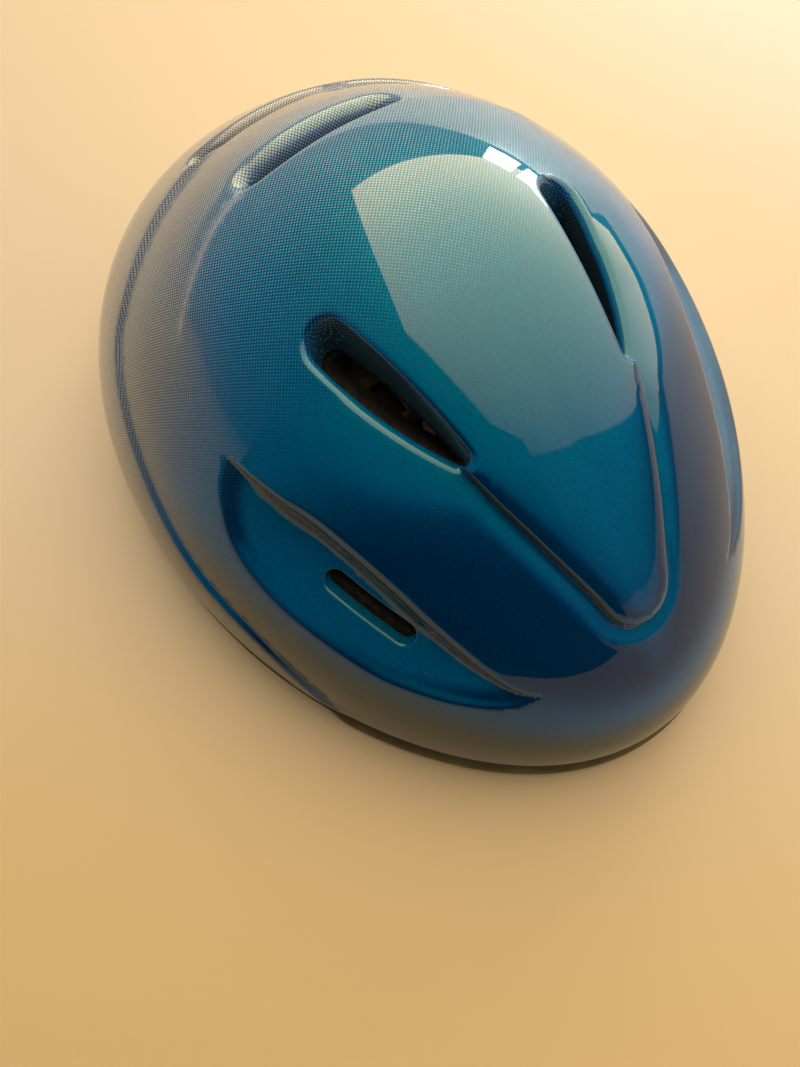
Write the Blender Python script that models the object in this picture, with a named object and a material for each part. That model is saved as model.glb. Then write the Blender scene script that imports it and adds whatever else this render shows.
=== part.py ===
"""A child's cycling helmet: hard outer shell, foam liner, rim trim, fit pads and chin harness.

Metres, +Z up. The helmet stands on its rim at z = 0, the front is -Y and the wearer's left is +X.
"""

import bpy
import bmesh
import numpy as np
from mathutils import Matrix, Vector
from mathutils.geometry import delaunay_2d_cdt

# Dome: overall size and the smooth terms that shape it
LENGTH = 0.270
WIDTH = 0.200
HEIGHT = 0.140
WIDEST_HEIGHT = 0.016
REAR_BULGE = 0.080
PLAN_WAIST = -0.058
PLAN_NOSE = 0.024
SHOULDER = -0.109
SHOULDER_DROP = -0.2185
CROWN_LEAN = -0.009
CROWN_BREADTH = 0.169

# Walls
CLEARANCE = 0.0003
SHELL_WALL = 0.0015
LINER_DEPTH = 0.022
REAR_EDGE_HEIGHT = 0.0025
FRONT_EDGE_HEIGHT = 0.0065
EDGE_STEP_Y = -0.068
EDGE_STEP_LENGTH = 0.010

# Relief of the shell: lines on the wearer's left, each point a bearing and an angle from the crown
CROWN_LINE_DEG = [(5, 20.5), (-33, 21.5), (-58, 30.5), (-71.5, 39.5), (-80, 48.5), (-83, 53), (-86.5, 55),
                  (-90, 55.5)]
CROWN_STEP = 0.0022
CROWN_STEP_WIDTH = 0.0028
CROWN_RISE_SHARES = (0.0, 0.5)
CROWN_FADE = 0.022
CREASE_DEPTH = 0.0012
CREASE_HALF_WIDTH = 0.0020
CREASE_RISE_SHARES = (0.38, 0.55)
VENT_AXIS_DEG = [(1.5, 21.8), (-8, 21.8), (-20, 21.8), (-33, 23), (-54.2, 29.6), (-61.5, 33.6)]
ROLL_LINE_DEG = [(1.5, 21.8), (3, 25), (1.5, 29), (-4, 33), (-14, 35.8), (-29.2, 36.8), (-37.6, 36.7),
                 (-48.6, 35.8), (-55, 35.1), (-61.5, 33.6)]
ROLL_SLOPE = 0.14
SKIRT_LINE_DEG = [(90, 42.5), (69.5, 44.5), (55, 47.5), (38, 53), (29.5, 57.5), (16, 61.5), (-4, 71),
                  (-18, 77), (-27, 86), (-31.5, 94.5)]
SKIRT_STEP = 0.0016
SKIRT_STEP_WIDTH = 0.0034
SKIRT_FADE = 0.015
SKIRT_END_SHARES = (0.93, 1.0)
GROOVE_LINE_DEG = [(56.5, 29), (47, 31.5), (36.5, 34.5), (27, 38), (19, 41.5)]
GROOVE_STEP = 0.0017
GROOVE_STEP_WIDTH = 0.0046
GROOVE_FADE = 0.012
GROOVE_END_SHARES = (0.7, 1.0)
SCOOP_RIDGE_DEG = [(-3, 43.5), (-15, 42), (-26.5, 41.5), (-41.5, 46), (-48.5, 50.5), (-56.5, 57.5),
                   (-61, 61.5), (-65.5, 63)]
SCOOP_LOWER_DEG = [(-3, 43.5), (-6.5, 50.5), (-12, 57), (-21.5, 61.5), (-35.5, 65.5), (-44.5, 66.5),
                   (-52, 66.5), (-59, 65.5), (-65.5, 63)]
SCOOP_SLOPE = 0.20
SCOOP_WALL_SHARE = 0.40
SCOOP_FLOOR_RISE = 0.86
SCOOP_LIP_SHARE = 0.80

# Vents: bearing and angle of both ends; at each end the half width, the radius of the rolled lip, that of
# the lip on the other side and the flange's depth; how far the middle swells and bows; and how far the flange
# leans from the dome's normal to straight down
TOP_VENT = dict(ends_deg=((-8.2, 21.4), (-56.0, 28.4)), radii=(0.0082, 0.0046), lip=(0.0022, 0.0020),
                inner_lip=(0.0030, 0.0025), flange=(0.010, 0.0040), swell=0.0016, bow=0.0, pull=0.85,
                paired=True)
SIDE_VENT = dict(ends_deg=((-28.3, 53.5), (-41, 57.6)), radii=(0.0056, 0.0056), lip=(0.0020, 0.0020),
                 inner_lip=(0.0020, 0.0020), flange=(0.0034, 0.0034), swell=0.0, bow=0.0, pull=0.0,
                 paired=True)
CROWN_SLOT = dict(ends_deg=((66, 29), (114, 29)), radii=(0.0100, 0.0100), lip=(0.0040, 0.0040),
                  inner_lip=(0.0040, 0.0040), flange=(0.010, 0.010), swell=0.0, bow=0.0015, pull=0.6,
                  paired=False)
REAR_SLOT = dict(ends_deg=((72.5, 46.5), (107.5, 46.5)), radii=(0.0073, 0.0073), lip=(0.0030, 0.0030),
                 inner_lip=(0.0030, 0.0030), flange=(0.008, 0.008), swell=0.0, bow=0.0035, pull=0.0,
                 paired=False)
DRAFT = 0.15
SMALLEST_ROLL = 0.0002
LINER_SHELF = 0.0007

# Rim trim
TRIM_BULGE = 0.0004
TRIM_FOOT_INSET = 0.0012
TRIM_INNER_INSET = 0.0015

# Fit pads: bearing and angle of the middle, then half spans; the crown pad is in metres
PADS_DEG = {"brow": (-90, 79, 36, 8.5), "rear": (90, 76, 34, 9.5),
            "left_side": (2, 68, 9, 10), "right_side": (178, 68, 9, 10)}
CROWN_PAD_CENTRE_Y = -0.014
CROWN_PAD_HALF = (0.019, 0.034)
PAD_THICKNESS = 0.0065
PAD_EDGE = 0.0025
PAD_CROWN = 3
PAD_CORNER_POWER = 0.5
CROWN_PAD_CORNER_POWER = 0.7
PAD_RINGS = 4
PAD_POINTS = 24
HOOK_RADIUS = 0.009
HOOK_THICKNESS = 0.0010
HOOK_POINTS = 16
BROW_HOOK_BEARING_DEG = 20

# Webbing and its anchors
WEB_WIDTH = 0.015
WEB_THICKNESS = 0.0013
WEB_LAYER_GAP = 0.0003
ANCHOR_SIDE = 0.0035
ANCHOR_WIDTH = WEB_WIDTH + 2 * ANCHOR_SIDE
ANCHOR_HEIGHT = 0.012
ANCHOR_THICKNESS = 0.0030
ANCHOR_CENTRE_HEIGHT = 0.046
FRONT_STRAP_BEARING_DEG = -18
REAR_STRAP_BEARINGS_DEG = (15, 75)
SWING_HEIGHT = 0.012
STRAP_DROP_SHARE = 0.6
FIXED_STRAP_POINTS = 6
LOOSE_STRAP_POINTS = 11

# Buckle, dividers and keeper, with the harness folded inside the helmet just above the table
BUCKLE_SIDE = 0.0045
BUCKLE_WIDTH = WEB_WIDTH + 2 * BUCKLE_SIDE
BUCKLE_THICKNESS = 0.009
BUCKLE_REAR_X = 0.005
BUCKLE_GAP = 0.0064
TABLE_GAP = 0.0005
PLUG_BAR = 0.003
WEB_WINDOW_LENGTH = 0.006
GUIDE_WIDTH = 0.005
PRONG_LENGTH = 0.0185
PRONG_THICKNESS = 0.004
PRONG_WIDTH = 0.0036
PRONG_BARB = 0.0016
BARB_START = 0.0105
BARB_RISE = 0.0008
BARB_FLAT = 0.0012
SOCKET_WALL = 0.0018
SOCKET_PARTITION = 0.0015
SOCKET_WINDOW_LENGTH = 0.007
PRONG_END_ROOM = 0.001
DIVIDER_LENGTH = 0.009
DIVIDER_TRAVEL = 0.004
SLEEVE_WALL = 0.0014
KEEPER_LENGTH = 0.004
KEEPER_TRAVEL = 0.004
WEB_SLACK = 0.004
CHIN_STRAP_HEIGHT = BUCKLE_THICKNESS / 2 + TABLE_GAP
CHIN_STRAP_OFFSET_Y = BUCKLE_WIDTH / 2 + SOCKET_WALL + BUCKLE_GAP / 2
JUNCTION_X = BUCKLE_REAR_X + KEEPER_TRAVEL + KEEPER_LENGTH + DIVIDER_TRAVEL + DIVIDER_LENGTH + WEB_SLACK

# Fineness of the surfaces
NET_STEP = 0.0125
LINE_STEP = 0.0072
NET_ROOM = 0.0077
LINE_ROOM = 0.0025
RIM_ROOM_ANGLE_DEG = 1.7
SLOT_SIDE_POINTS = 6
SLOT_END_POINTS = 5
LINE_SAMPLES = 10
OUTLINE_POINTS = 73
SEARCH_POINTS = 400
RIM_SEARCH_DEG = (69, 103)
STRAP_SEARCH_DEG = (34, 100)
SHARP_ANGLE_DEG = 35


def clear_scene():
    for item in list(bpy.data.objects):
        bpy.data.objects.remove(item, do_unlink=True)


def material(name, colour, roughness, metallic=0.0, coat=0.0):
    finish = bpy.data.materials.new(name)
    finish.use_nodes = True
    shader = finish.node_tree.nodes["Principled BSDF"]
    shader.inputs["Base Color"].default_value = (*colour, 1.0)
    shader.inputs["Roughness"].default_value = roughness
    shader.inputs["Metallic"].default_value = metallic
    shader.inputs["Coat Weight"].default_value = coat
    return finish


def node_object(name, points, faces, finish):
    """One closed piece from points and faces, with its faces turned outwards."""
    mesh = bpy.data.meshes.new(name)
    mesh.from_pydata([tuple(p) for p in points], [], [tuple(f) for f in faces])
    work = bmesh.new()
    work.from_mesh(mesh)
    bmesh.ops.recalc_face_normals(work, faces=work.faces)
    work.to_mesh(mesh)
    work.free()
    mesh.materials.append(finish)
    mesh.shade_smooth()
    mesh.set_sharp_from_angle(angle=np.radians(SHARP_ANGLE_DEG))
    piece = bpy.data.objects.new(name, mesh)
    bpy.context.scene.collection.objects.link(piece)
    return piece


def smooth(low, high, value):
    share = np.clip((value - low) / (high - low), 0.0, 1.0)
    return share ** 3 * (share * (6 * share - 15) + 10)


def eased(low, high, value, ease=0.25):
    """A straight climb from 0 to 1 whose two ends are rounded over a share of it."""
    share = np.clip((value - low) / (high - low), 0.0, 1.0)
    near = np.minimum(share, 1 - share)
    bend = np.where(near < ease, near ** 2 / (2 * ease), near - ease / 2) / (1 - ease)
    return np.where(share < 0.5, bend, 1 - bend)


def dome(disc):
    """Bare dome at disc points: the distance from the disc's centre is the angle from the crown."""
    angle = np.hypot(disc[:, 0], disc[:, 1])
    safe = np.maximum(angle, 1e-9)
    across, along = disc[:, 0] / safe, disc[:, 1] / safe
    rise, spread = np.cos(angle), np.sin(angle)
    reach = spread * (1 + SHOULDER * rise ** 2)
    plan = (1 + PLAN_WAIST * (along * spread) ** 2) * (1 + REAR_BULGE * along * spread)
    x = WIDTH / 2 * across * plan * (1 + CROWN_BREADTH * rise ** 2) * reach
    y = LENGTH / 2 * along * (1 + PLAN_NOSE * (across * spread) ** 2) * reach + CROWN_LEAN * rise ** 2
    z = WIDEST_HEIGHT + (HEIGHT - WIDEST_HEIGHT) * rise * (1 + SHOULDER_DROP * spread ** 2)
    return np.stack([x, y, z], axis=1)


def dome_slopes(disc):
    small = 1e-4
    step_a, step_b = np.array([small, 0.0]), np.array([0.0, small])
    slope_a = (dome(disc + step_a) - dome(disc - step_a)) / (2 * small)
    slope_b = (dome(disc + step_b) - dome(disc - step_b)) / (2 * small)
    return slope_a, slope_b


def dome_normals(disc):
    slope_a, slope_b = dome_slopes(disc)
    normal = np.cross(slope_a, slope_b)
    return normal / np.linalg.norm(normal, axis=1, keepdims=True)


def on_dome(points):
    """Disc points of the dome points nearest to the given points."""
    points = np.asarray(points, dtype=float)
    scaled = np.stack([points[:, 0] / (WIDTH / 2), points[:, 1] / (LENGTH / 2),
                       (points[:, 2] - WIDEST_HEIGHT) / (HEIGHT - WIDEST_HEIGHT)], axis=1)
    angle = np.arctan2(np.hypot(scaled[:, 0], scaled[:, 1]), scaled[:, 2])
    bearing = np.arctan2(scaled[:, 1], scaled[:, 0])
    disc = np.stack([angle * np.cos(bearing), angle * np.sin(bearing)], axis=1)
    for _ in range(12):
        slope_a, slope_b = dome_slopes(disc)
        miss = points - dome(disc)
        aa, ab, bb = (slope_a ** 2).sum(1), (slope_a * slope_b).sum(1), (slope_b ** 2).sum(1)
        ma, mb = (miss * slope_a).sum(1), (miss * slope_b).sum(1)
        scale = aa * bb - ab ** 2
        disc = disc + np.stack([(bb * ma - ab * mb) / scale, (aa * mb - ab * ma) / scale], axis=1)
    return disc


def polar(bearing, angle):
    return np.stack([angle * np.cos(bearing), angle * np.sin(bearing)], axis=-1)


def edge_angle(bearing):
    """Angle from the crown at which the shell and liner end, which is higher over the brow."""
    angles = np.radians(np.linspace(*RIM_SEARCH_DEG, SEARCH_POINTS))
    out = np.empty(len(bearing))
    for i, b in enumerate(bearing):
        places = dome(polar(np.full(angles.shape, b), angles))
        forward = smooth(EDGE_STEP_Y + EDGE_STEP_LENGTH / 2, EDGE_STEP_Y - EDGE_STEP_LENGTH / 2, places[:, 1])
        height = REAR_EDGE_HEIGHT + (FRONT_EDGE_HEIGHT - REAR_EDGE_HEIGHT) * forward
        out[i] = np.interp(0.0, height - places[:, 2], angles)
    return out


def relief_line(control):
    """A smooth line on the dome through a few points, with its directions at each sample."""
    control = np.radians(control)
    control = polar(control[:, 0], control[:, 1])
    before, after = 2 * control[0] - control[1], 2 * control[-1] - control[-2]
    ends = [before, *control, after]
    t = np.linspace(0, 1, LINE_SAMPLES, endpoint=False)[:, None]
    samples = []
    for p0, p1, p2, p3 in zip(ends, ends[1:], ends[2:], ends[3:]):
        samples.append(0.5 * (2 * p1 + (p2 - p0) * t + (2 * p0 - 5 * p1 + 4 * p2 - p3) * t ** 2
                              + (3 * p1 - p0 - 3 * p2 + p3) * t ** 3))
    disc = np.vstack([*samples, control[-1:]])
    places, normals = dome(disc), dome_normals(disc)
    tangents = np.gradient(places, axis=0)
    tangents /= np.linalg.norm(tangents, axis=1, keepdims=True)
    length = np.concatenate([[0.0], np.cumsum(np.linalg.norm(np.diff(places, axis=0), axis=1))])
    return dict(disc=disc, places=places, across=np.cross(normals, tangents), length=length)


def beside(line, places):
    """Distance from a line, distance across it (positive below or outside) and share along it."""
    starts, ends = line["places"][:-1], line["places"][1:]
    step = ends - starts
    rel = places[:, None, :] - starts[None]
    t = np.clip((rel * step).sum(2) / (step ** 2).sum(1), 0, 1)
    gap = rel - t[..., None] * step
    dist = np.linalg.norm(gap, axis=2)
    best = dist.argmin(1)
    rows = np.arange(len(places))
    t_best = t[rows, best]
    across = line["across"][best] * (1 - t_best)[:, None] + line["across"][best + 1] * t_best[:, None]
    side = (gap[rows, best] * across).sum(1)
    length = line["length"]
    share = (length[best] + t_best * (length[best + 1] - length[best])) / length[-1]
    return dist[rows, best], side, share


LINES = {name: relief_line(points) for name, points in dict(
    crown=CROWN_LINE_DEG, axis=VENT_AXIS_DEG, roll=ROLL_LINE_DEG, skirt=SKIRT_LINE_DEG,
    groove=GROOVE_LINE_DEG, ridge=SCOOP_RIDGE_DEG, lower=SCOOP_LOWER_DEG).items()}


def between(first, second, places):
    """Which places lie between two lines that meet at their ends, seen on the disc."""
    outline = np.vstack([first["disc"], second["disc"][::-1]])
    point = on_dome(places)
    inside = np.zeros(len(point), dtype=bool)
    for (a0, b0), (a1, b1) in zip(outline, np.roll(outline, -1, axis=0)):
        if b0 != b1:
            crosses = (b0 > point[:, 1]) != (b1 > point[:, 1])
            inside ^= crosses & (point[:, 0] < a0 + (point[:, 1] - b0) * (a1 - a0) / (b1 - b0))
    return inside


def relief(places):
    """How far the shell stands off the dome: crown, rolled vents, proud skirt, groove and side scoops."""
    half = places.copy()
    half[:, 0] = np.abs(half[:, 0])

    dist, side, share = beside(LINES["crown"], half)
    off = np.where(side < 0, dist, -dist)
    rise = smooth(-CROWN_STEP_WIDTH / 2, CROWN_STEP_WIDTH / 2, off) - 0.5
    height = CROWN_STEP * smooth(*CROWN_RISE_SHARES, share) * rise * np.exp(-(off / CROWN_FADE) ** 2)
    crease = np.exp(-((off + CREASE_HALF_WIDTH / 2) / CREASE_HALF_WIDTH) ** 2)
    height -= CREASE_DEPTH * smooth(*CREASE_RISE_SHARES, share) * crease

    from_roll, _, _ = beside(LINES["roll"], half)
    from_axis, _, _ = beside(LINES["axis"], half)
    rolled = from_roll * smooth(CREASE_HALF_WIDTH, 0.0, from_axis)
    inside = between(LINES["roll"], LINES["axis"], half)
    height -= ROLL_SLOPE * np.where(inside, from_roll ** 2 / (from_roll + from_axis + 1e-9), rolled)

    dist, side, share = beside(LINES["skirt"], half)
    off = np.where(side > 0, dist, -dist)
    rise = smooth(-SKIRT_STEP_WIDTH / 2, SKIRT_STEP_WIDTH / 2, off) - 0.5
    height += SKIRT_STEP * (1 - smooth(*SKIRT_END_SHARES, share)) * rise * np.exp(-(off / SKIRT_FADE) ** 2)

    dist, side, share = beside(LINES["groove"], half)
    off = np.where(side < 0, dist, -dist)
    rise = eased(-GROOVE_STEP_WIDTH / 2, GROOVE_STEP_WIDTH / 2, off) - 0.5
    height += GROOVE_STEP * (1 - smooth(*GROOVE_END_SHARES, share)) * rise * np.exp(-(off / GROOVE_FADE) ** 2)

    from_ridge, _, _ = beside(LINES["ridge"], half)
    from_lower, _, _ = beside(LINES["lower"], half)
    span = from_ridge + from_lower
    place = from_ridge / np.maximum(span, 1e-9)
    floor = 1 - SCOOP_FLOOR_RISE * np.clip((place - SCOOP_WALL_SHARE) / (1 - SCOOP_WALL_SHARE), 0, 1)
    floor -= (1 - SCOOP_FLOOR_RISE) * smooth(SCOOP_LIP_SHARE, 1.0, place)
    bowl = eased(0.0, SCOOP_WALL_SHARE, place) * floor
    return height - np.where(between(LINES["ridge"], LINES["lower"], half), SCOOP_SLOPE * span * bowl, 0.0)


def vent_frames():
    """Every vent as a centre, two directions on the dome, half length and the lean of its flange."""
    frames = []
    for vent in (TOP_VENT, SIDE_VENT, CROWN_SLOT, REAR_SLOT):
        for mirror in ((1, -1) if vent["paired"] else (1,)):
            ends = np.radians(vent["ends_deg"])
            first, last = dome(polar(ends[:, 0], ends[:, 1]) * np.array([mirror, 1]))
            middle = on_dome(((first + last) / 2)[None])
            normal = dome_normals(middle)[0]
            along = last - first
            along -= normal * (along @ normal)
            half = np.linalg.norm(along) / 2
            along /= 2 * half
            frames.append(dict(vent, centre=(first + last) / 2, along=along, half=half,
                               across=mirror * np.cross(normal, along),
                               lean=vent["pull"] * (normal - np.array([0, 0, 1]) / normal[2])))
    return frames


def between_ends(values, share):
    return values[0] + (values[1] - values[0]) * share


def arched(share):
    """A curve that is 0 at both ends of a vent and 1 at its middle."""
    return 4 * share * (1 - share)


def vent_distance(frame, places):
    """Distance of places from the start of a vent's rolled lip, along the dome, negative inside it."""
    rel = places - frame["centre"]
    u, v = rel @ frame["along"], rel @ frame["across"]
    share = np.clip((u / frame["half"] + 1) / 2, 0, 1)
    reach = np.hypot(u - np.clip(u, -frame["half"], frame["half"]), v - frame["bow"] * arched(share))
    far = np.linalg.norm(rel, axis=1) > 2 * (frame["half"] + max(frame["radii"]))
    return np.where(far, np.inf, reach - between_ends(frame["radii"], share) - frame["swell"] * arched(share))


def vent_ring(frame, gap=0.0, turn=0.0, deep=0.0, inset=0.0, extra=0.0):
    """Ring of disc points in a vent and their drop below the face, at a gap behind the shell's face.

    It lies a share of the turn round the rolled lip, then a share of the way down the flange."""
    share = np.linspace(0, 1, SLOT_SIDE_POINTS)
    taper = frame["radii"][1] - frame["radii"][0] + frame["swell"] * 4 * (1 - 2 * share)
    leaning = -np.arcsin(taper / (2 * frame["half"]))
    front = np.linspace(leaning[-1], np.pi - leaning[-1], SLOT_END_POINTS + 2)[1:-1]
    rear = np.linspace(np.pi - leaning[0], 2 * np.pi + leaning[0], SLOT_END_POINTS + 2)[1:-1]
    facing = np.concatenate([leaning, front, (np.pi - leaning)[::-1], rear])
    share = np.concatenate([share, np.ones(len(front)), share[::-1], np.zeros(len(rear))])
    side = np.cos(facing)
    outward = np.sin(facing)[:, None] * frame["along"] + side[:, None] * frame["across"]

    inner = between_ends(frame["inner_lip"], share)
    lip = inner + (between_ends(frame["lip"], share) - inner) * smooth(-1.0, 1.0, side)
    sweep = np.pi / 2 + np.arctan(outward @ frame["lean"] - DRAFT)
    margin = np.maximum(SHELL_WALL + CLEARANCE + SMALLEST_ROLL - lip, 0.0)
    arc = np.maximum(lip - gap, SMALLEST_ROLL)
    inward = margin + (lip - gap - arc) * np.sin(sweep) + arc * np.sin(turn * sweep) + inset
    rolled = gap + arc * (1 - np.cos(turn * sweep))
    down = deep * (between_ends(frame["flange"], share) + extra - rolled)

    reach = between_ends(frame["radii"], share) + frame["swell"] * arched(share) - inward - DRAFT * down
    points = frame["centre"] + (frame["half"] * (2 * share - 1))[:, None] * frame["along"]
    points = points + (frame["bow"] * arched(share))[:, None] * frame["across"]
    return on_dome(points + outward * reach[:, None] + frame["lean"] * down[:, None]), rolled + down


# Rings that lead down into each vent: over the shell's lip and flange and back up behind them, and down the
# hole in the liner to the shelf under the flange and on through
SHELL_RINGS = [dict(turn=0.5), dict(turn=1), dict(turn=1, deep=1), dict(gap=SHELL_WALL, turn=1, deep=1),
               dict(gap=SHELL_WALL, turn=1), dict(gap=SHELL_WALL, turn=0.5)]
LINER_FACE = SHELL_WALL + CLEARANCE
LINER_RINGS = [dict(gap=LINER_FACE, turn=0.5), dict(gap=LINER_FACE, turn=1),
               dict(gap=LINER_FACE, turn=1, deep=1, extra=CLEARANCE)]
LINER_RINGS += [dict(turn=1, deep=1, inset=LINER_SHELF, extra=CLEARANCE)] * 2


def line_rows():
    """Rows of extra points along the relief lines, so that steps and ridges stay crisp."""
    offsets = [("crown", -CROWN_STEP_WIDTH / 2), ("crown", CROWN_STEP_WIDTH / 2),
               ("crown", CROWN_STEP_WIDTH / 2 + CREASE_HALF_WIDTH), ("skirt", -SKIRT_STEP_WIDTH / 2),
               ("skirt", SKIRT_STEP_WIDTH / 2), ("groove", -GROOVE_STEP_WIDTH / 2),
               ("groove", GROOVE_STEP_WIDTH / 2), ("ridge", 0.0), ("lower", 0.0)]

    def spread(values, at, count):
        share = np.linspace(at[0], at[-1], count)
        return np.stack([np.interp(share, at, values[:, k]) for k in range(3)], axis=1)

    rows = []
    for name, offset in offsets:
        line = LINES[name]
        count = round(line["length"][-1] / LINE_STEP) + 1
        place = spread(line["places"], line["length"], count)
        rows.append(place + offset * spread(line["across"], line["length"], count))
    ridge, lower = rows[-2:]
    lower = spread(lower, np.linspace(0, 1, len(lower)), len(ridge))
    rows.append(ridge * (1 - SCOOP_WALL_SHARE) + lower * SCOOP_WALL_SHARE)
    return [on_dome(row * np.array([mirror, 1, 1])) for row in rows for mirror in (1, -1)]


def dome_net():
    """Triangles over the dome's disc between the rim and the start of each vent's lip."""
    frames = vent_frames()
    discs, edges, loops = [], [], []
    total = 0
    for frame in frames:
        loop, _ = vent_ring(frame)
        loops.append(np.arange(total, total + len(loop)))
        discs.append(loop)
        total += len(loop)

    outline = np.linspace(-np.pi, np.pi, OUTLINE_POINTS)
    edge = edge_angle(outline)
    meridian = dome(polar(np.zeros(outline.shape), np.linspace(0, edge.mean(), len(outline))))
    rings = round(np.linalg.norm(np.diff(meridian, axis=0), axis=1).sum() / NET_STEP)
    grid = [np.zeros((1, 2))]
    for k in range(1, rings + 1):
        girth = np.linalg.norm(np.diff(dome(polar(outline, edge * k / rings)), axis=0), axis=1).sum()
        count = 2 * round(girth / NET_STEP / 2)
        bearing = -np.pi / 2 + (np.arange(count) + 0.5 * (k % 2)) * 2 * np.pi / count
        grid.append(polar(bearing, edge_angle(bearing) * k / rings))
    rim = grid.pop()
    grid = np.vstack(grid)

    kept = np.vstack([*discs, rim])
    rows = [(row, LINE_ROOM, True) for row in line_rows()]
    for extra, room, keep_line in [*rows, (grid, NET_ROOM, False)]:
        places = dome(extra)
        clear = np.ones(len(extra), dtype=bool)
        for frame in frames:
            clear &= vent_distance(frame, places) > room / 2
        bearing = np.arctan2(extra[:, 1], extra[:, 0])
        clear &= np.hypot(extra[:, 0], extra[:, 1]) < edge_angle(bearing) - np.radians(RIM_ROOM_ANGLE_DEG)
        taken = list(dome(kept))
        chosen = []
        for i in np.flatnonzero(clear):
            if np.linalg.norm(np.array(taken) - places[i], axis=1).min() > room:
                if keep_line and chosen and chosen[-1] == i - 1:
                    edges.append((len(taken) - 1, len(taken)))
                chosen.append(i)
                taken.append(places[i])
        kept = np.vstack([kept, extra[chosen]])

    loops.append(np.arange(total, total + len(rim)))
    for loop in loops:
        edges += [(int(a), int(b)) for a, b in zip(loop, np.roll(loop, -1))]
    flat, _, faces, _, _, _ = delaunay_2d_cdt([Vector(p) for p in kept], edges, [], 0, 1e-9)
    if len(flat) != len(kept):
        raise ValueError("a vent or the rim crosses another line of the net")
    faces = np.array([list(f) for f in faces])
    middle = dome(kept[faces].mean(axis=1))
    keep = ~np.isin(faces, loops[-1]).all(1)
    for frame, loop in zip(frames, loops):
        keep &= ~(np.isin(faces, loop).all(1) & (vent_distance(frame, middle) < 0))
    return dict(disc=kept, faces=faces[keep], rim=loops[-1], loops=loops[:-1], frames=frames)


def band(points, upper, lower):
    """Triangles between two rings of points, split across the shorter way of every four."""
    faces = []
    for a, b, c, d in zip(upper, np.roll(upper, -1), lower, np.roll(lower, -1)):
        if np.linalg.norm(points[a] - points[d]) < np.linalg.norm(points[b] - points[c]):
            faces += [(a, b, d), (a, d, c)]
        else:
            faces += [(a, b, c), (b, d, c)]
    return faces


def layered_solid(name, net, top, bottom, rings, finish):
    """A closed wall between two layers of the net, joined through each vent by rings of points."""
    count = len(top)
    points = [top, bottom]
    paths = [[net["rim"], net["rim"] + count]]
    total = 2 * count
    for v, loop in enumerate(net["loops"]):
        path = [loop]
        for ring in rings(v):
            path.append(np.arange(total, total + len(ring)))
            points.append(ring)
            total += len(ring)
        paths.append([*path, loop + count])
    points = np.vstack(points)
    faces = [tuple(f) for f in net["faces"]] + [tuple(f[::-1] + count) for f in net["faces"]]
    for path in paths:
        for upper, lower in zip(path, path[1:]):
            faces += band(points, upper, lower)
    return node_object(name, points, faces, finish)


def shell_and_liner(net):
    base, normals = dome(net["disc"]), dome_normals(net["disc"])
    height = relief(base)

    def at(level):
        return base + normals * level[:, None]

    def rings_of(plan, v):
        """The rings' points; everything in a vent hangs from the face's level where its lip starts."""
        frame = net["frames"][v]
        start, _ = vent_ring(frame)
        level = relief(dome(start))
        rings = []
        for ring in plan:
            disc, drop = vent_ring(frame, **ring)
            rings.append(dome(disc) + dome_normals(disc) * (level - drop)[:, None])
        return rings

    def liner_rings(v):
        rings = rings_of(LINER_RINGS, v)
        disc, _ = vent_ring(net["frames"][v], **LINER_RINGS[-1])
        rings[-1] = dome(disc) - dome_normals(disc) * LINER_DEPTH
        return rings

    layered_solid("outer_shell", net, at(height), at(height - SHELL_WALL), lambda v: rings_of(SHELL_RINGS, v),
                  material("shell_blue_pearl", (0.01, 0.10, 0.25), 0.12, 0.3, 1.0))
    inside = at(np.full(len(base), -LINER_DEPTH))
    layered_solid("foam_liner", net, at(height - LINER_FACE), inside, liner_rings,
                  material("foam_black", (0.012, 0.012, 0.013), 0.85))


def rim_trim(net):
    """Moulded edge trim: a ring under the shell and foam, flat underneath, where the helmet stands."""
    disc = net["disc"][net["rim"]]
    edge, normal = dome(disc), dome_normals(disc)
    outward = normal * np.array([1, 1, 0])
    outward /= np.linalg.norm(outward, axis=1, keepdims=True)

    def under(depth):
        place = edge - normal * depth
        place[:, 2] -= CLEARANCE
        return place

    def level(depth, share):
        place = edge - outward * depth
        place[:, 2] = edge[:, 2] * share
        return place

    section = [under(0.0), level(-TRIM_BULGE, 0.5), level(TRIM_FOOT_INSET, 0.0),
               level(LINER_DEPTH - TRIM_INNER_INSET, 0.0), under(LINER_DEPTH - TRIM_INNER_INSET / 2)]
    count = len(disc)
    faces = []
    for k in range(len(section)):
        this, after = k * count, (k + 1) % len(section) * count
        for i in range(count):
            j = (i + 1) % count
            faces.append((this + i, this + j, after + j, after + i))
    node_object("rim_trim", np.vstack(section), faces, material("trim_olive", (0.055, 0.040, 0.016), 0.45))


def lens(name, outline, back, depths, finish):
    """A closed patch on the foam's inside: outline(share) gives disc rings from its edge to its middle."""
    count = len(outline(1.0))
    rings = [(share, back) for share, _ in reversed(depths)] + depths
    points, faces = [], []
    for share, depth in rings:
        disc = outline(share)
        points.append(dome(disc) - dome_normals(disc) * depth)
    middle = outline(0.0)[:1]
    for depth in (back, depths[-1][1]):
        points.append(dome(middle) - dome_normals(middle) * depth)
    first, last, tip = 0, (len(rings) - 1) * count, len(rings) * count
    for i in range(count):
        j = (i + 1) % count
        for k in range(len(rings) - 1):
            faces.append((k * count + i, k * count + j, (k + 1) * count + j, (k + 1) * count + i))
        faces.append((tip, first + j, first + i))
        faces.append((tip + 1, last + i, last + j))
    node_object(name, np.vstack(points), faces, finish)


def rounded(count, power):
    turn = np.arange(count) * 2 * np.pi / count
    return np.stack([np.sign(np.cos(turn)) * np.abs(np.cos(turn)) ** power,
                     np.sign(np.sin(turn)) * np.abs(np.sin(turn)) ** power], axis=1)


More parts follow.
